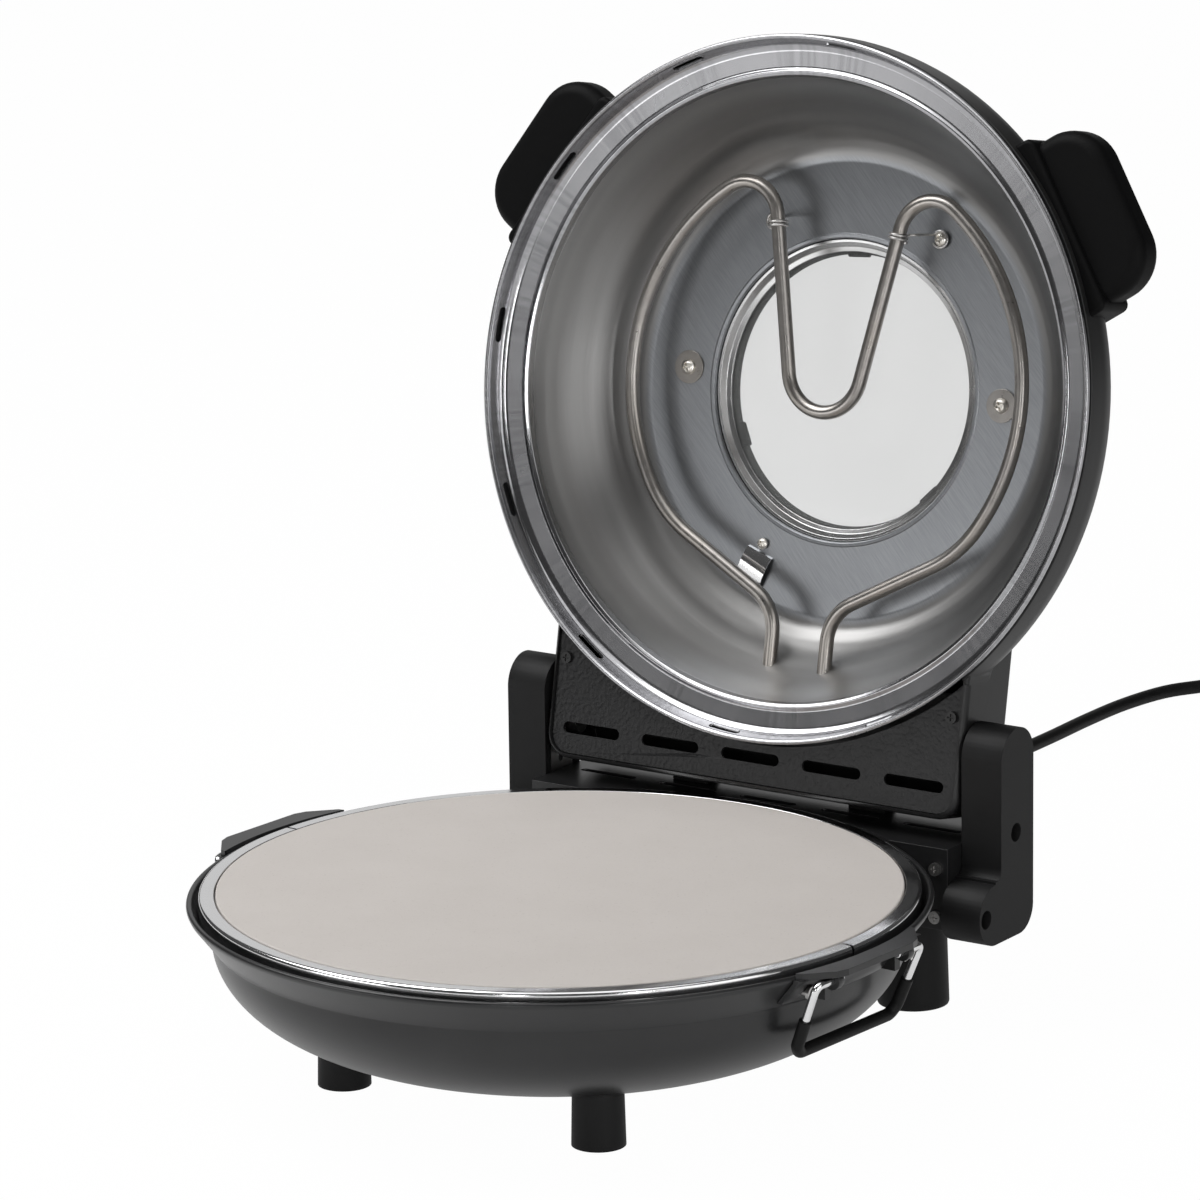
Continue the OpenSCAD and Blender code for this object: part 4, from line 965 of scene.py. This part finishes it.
bow = np.linspace(-bow_half, bow_half, 13)
arch = np.column_stack([bow, bow_top + bow_drop * (bow / bow_half)**2])
back = arch[::-1] * (0.94, 1) + (0, 0.6)
strip = np.vstack([[(-8.2, 59.8)], arch, [(8.2, 59.8), (7.6, 59.8)], back, [(-7.6, 59.8)]])
n = len(strip)
clip_verts = np.vstack([np.column_stack([np.full(n, x), strip]) for x in (-clip_half, clip_half)])
clip_faces = [tuple(range(n)), tuple(range(n, 2 * n))[::-1]]
clip_faces += [(i, i + n, (i + 1) % n + n, (i + 1) % n) for i in range(n)]
clip_place = Matrix.Translation(clip_at) @ Matrix.Rotation(math.radians(clip_turn), 4, "Z")
clip_part = moved((clip_verts, clip_faces), clip_place)
piece("sensor_strip", *clip_part, polish, "lid", lid, "polished_sheet", ("sensor_clip",))

# ---------------------------------------------------------------- Neck panel
# Steel panel with five slots under orange peel black enamel. It closes the
# neck towards the stone.
panel_enamel = Finish("panel_enamel", Specular_IOR_Level=0.24)
peel = panel_enamel.noise(panel_enamel.place(), 520.0, 2.0, 0.4)
panel_enamel.set(Base_Color=panel_enamel.mix(peel, (0.010, 0.010, 0.0105), (0.014, 0.014, 0.0145)))
panel_enamel.set(Roughness=0.26 + 0.12 * peel)
panel_enamel.bump(peel, 0.00022)
dress("neck_panel", panel_enamel, 0.5)
dress("panel_screws", screw_black)

# ---------------------------------------------------------------- Grips
# Two soft edged moulded grips on the dome's shoulder. Each has a flange that
# hugs the dome and a thick lobe, with two screws behind.
soft_touch = Finish("soft_moulding", Specular_IOR_Level=0.08)
nap = soft_touch.noise(soft_touch.place(), 2400.0, 2.0)
soft_touch.set(Base_Color=soft_touch.mix(nap, (0.0022, 0.0022, 0.0023), (0.0045, 0.0045, 0.0047)))
soft_touch.set(Roughness=0.46 + 0.14 * nap)
soft_touch.bump(nap, 0.00003)
lobe = rounded([(-41, 16, 0), (-41, -31.2, 21), (41, -31.2, 21), (41, 16, 0)], True, 12)
foot_plan = rounded([(-44, 17.3, 0), (-44, -3.7, 4), (44, -3.7, 4), (44, 17.3, 0)], True, 4)
grip_turn, lid_r, sink = 57, 165.3, 0.15
dome_fill = np.vstack([[(0, 0), (165.7, 0)], dome_line - (sink, sink), [(0, 71.2)]])
dome_solid = lathe(dome_fill, 160, False)
for side, sign in (("left", -1), ("right", 1)):
    out = Matrix.Rotation(math.radians(sign * grip_turn), 4, "Z")
    out = out @ Matrix.Translation((0, -lid_r, 0))
    lobe_part = moved(slab(lobe, 11, 31, 6.5, 7), out)
    foot_part = moved(slab(foot_plan, 7.5, 32.5, 2.2, 4), out)
    shape = carve(foot_part, ("UNION", lobe_part), ("DIFFERENCE", dome_solid))
    piece("grip_body_" + side, *shape, soft_touch, "lid", lid, "black_moulding", ("grip_" + side,))
dress("grip_screws", screw_black)

# ---------------------------------------------------------------- Thermostat
# The thermostat sits in the neck. Its ribbed knob and two lamp lenses stand
# on the neck's top, which is behind when the lid is open.
lens = Finish("lamp_lens", Roughness=0.12, Coat_Weight=0.3)
glow = lens.noise(lens.place(), 500.0, 2.0)
lens.set(Base_Color=lens.mix(glow, (0.36, 0.045, 0.012), (0.50, 0.075, 0.02)))
dress("thermostat", control)
dress("knob", moulding, 0.8, 3)
dress("pilot_lamps", lens, 0.5)

# ---------------------------------------------------------------- Studio
# White floor in a dark room, lit by large soft lamps. The camera sees plain
# white, also through the glass. Metal mirrors a dimmer floor, the dark room,
# the lamps and two cards.


def lamp(name, at, aim, width, height, power):
    """A soft rectangular lamp, turned to face the point aim."""
    light = bpy.data.lights.new(name, "AREA")
    light.shape = "RECTANGLE"
    light.size = width
    light.size_y = height
    light.energy = power
    made = bpy.data.objects.new(name, light)
    away = (Vector(at) - Vector(aim)).to_track_quat("Z", "Y").to_matrix().to_4x4()
    made.matrix_world = Matrix.Translation(at) @ away
    bpy.context.scene.collection.objects.link(made)


far = 8.0
floor_mesh = bpy.data.meshes.new("studio_floor")
floor_plan = [(-far, -far, 0), (far, -far, 0), (far, far, 0), (-far, far, 0)]
floor_mesh.from_pydata(floor_plan, [], [(0, 1, 2, 3)])
floor = bpy.data.objects.new("studio_floor", floor_mesh)
bpy.context.scene.collection.objects.link(floor)
paper = Finish("studio_paper", Base_Color=(0.86, 0.86, 0.86), Roughness=0.9, Specular_IOR_Level=0.1)
seen = paper.node("ShaderNodeLightPath", "Is Camera Ray")
mirrored = paper.node("ShaderNodeLightPath", "Is Glossy Ray")
through = paper.node("ShaderNodeLightPath", "Is Transmission Ray")
lit = paper.tree.nodes.new("ShaderNodeEmission")
lit.inputs["Color"].default_value = (1.0, 1.0, 1.0, 1.0)
both = paper.tree.nodes.new("ShaderNodeMixShader")
floor_white, floor_dim = 0.985, 0.45  # the floor's glow in plain view and in metal
floor_glow = floor_white * seen + floor_dim * mirrored + floor_white * through
plug_in(paper.tree, both.inputs["Fac"], floor_glow)
paper.tree.links.new(paper.skin.outputs[0], both.inputs[1])
paper.tree.links.new(lit.outputs[0], both.inputs[2])
paper.tree.links.new(both.outputs[0], paper.tree.nodes["Material Output"].inputs["Surface"])
floor_mesh.materials.append(paper.material)

world = bpy.data.worlds.new("studio")
bpy.context.scene.world = world
world.use_nodes = True
sky = world.node_tree
view_ray = sky.nodes.new("ShaderNodeLightPath")
room = sky.nodes["Background"]
room.inputs["Color"].default_value = (0.07, 0.07, 0.07, 1.0)
white = sky.nodes.new("ShaderNodeBackground")
white.inputs["Color"].default_value = (1.0, 1.0, 1.0, 1.0)
either = sky.nodes.new("ShaderNodeMixShader")
sky.links.new(view_ray.outputs["Is Camera Ray"], either.inputs["Fac"])
sky.links.new(room.outputs[0], either.inputs[1])
sky.links.new(white.outputs[0], either.inputs[2])
sky.links.new(either.outputs[0], sky.nodes["World Output"].inputs["Surface"])
centre = (0.0, 0.0, 0.2)
lamp("key_left", (-1.05, -0.5, 1.9), centre, 1.5, 1.5, 34)
lamp("top", (0.1, -0.3, 2.3), centre, 2.2, 2.0, 17)
lamp("side_right", (2.3, -0.4, 0.8), centre, 1.5, 2.0, 12)
lamp("strip_right", (1.95, -1.3, 0.4), centre, 0.14, 1.2, 8)
lamp("strip_front", (0.85, -2.35, 0.6), centre, 0.12, 1.0, 6)
lamp("front_card", (-0.51, -0.935, 0.18), (0.0, 0.16, 0.28), 0.46, 0.30, 1.15)
lamp("back_card", (-1.9, 2.6, 1.2), (0.0, 0.0, 0.1), 3.0, 1.4, 8)
bpy.context.scene.view_settings.view_transform = "Standard"
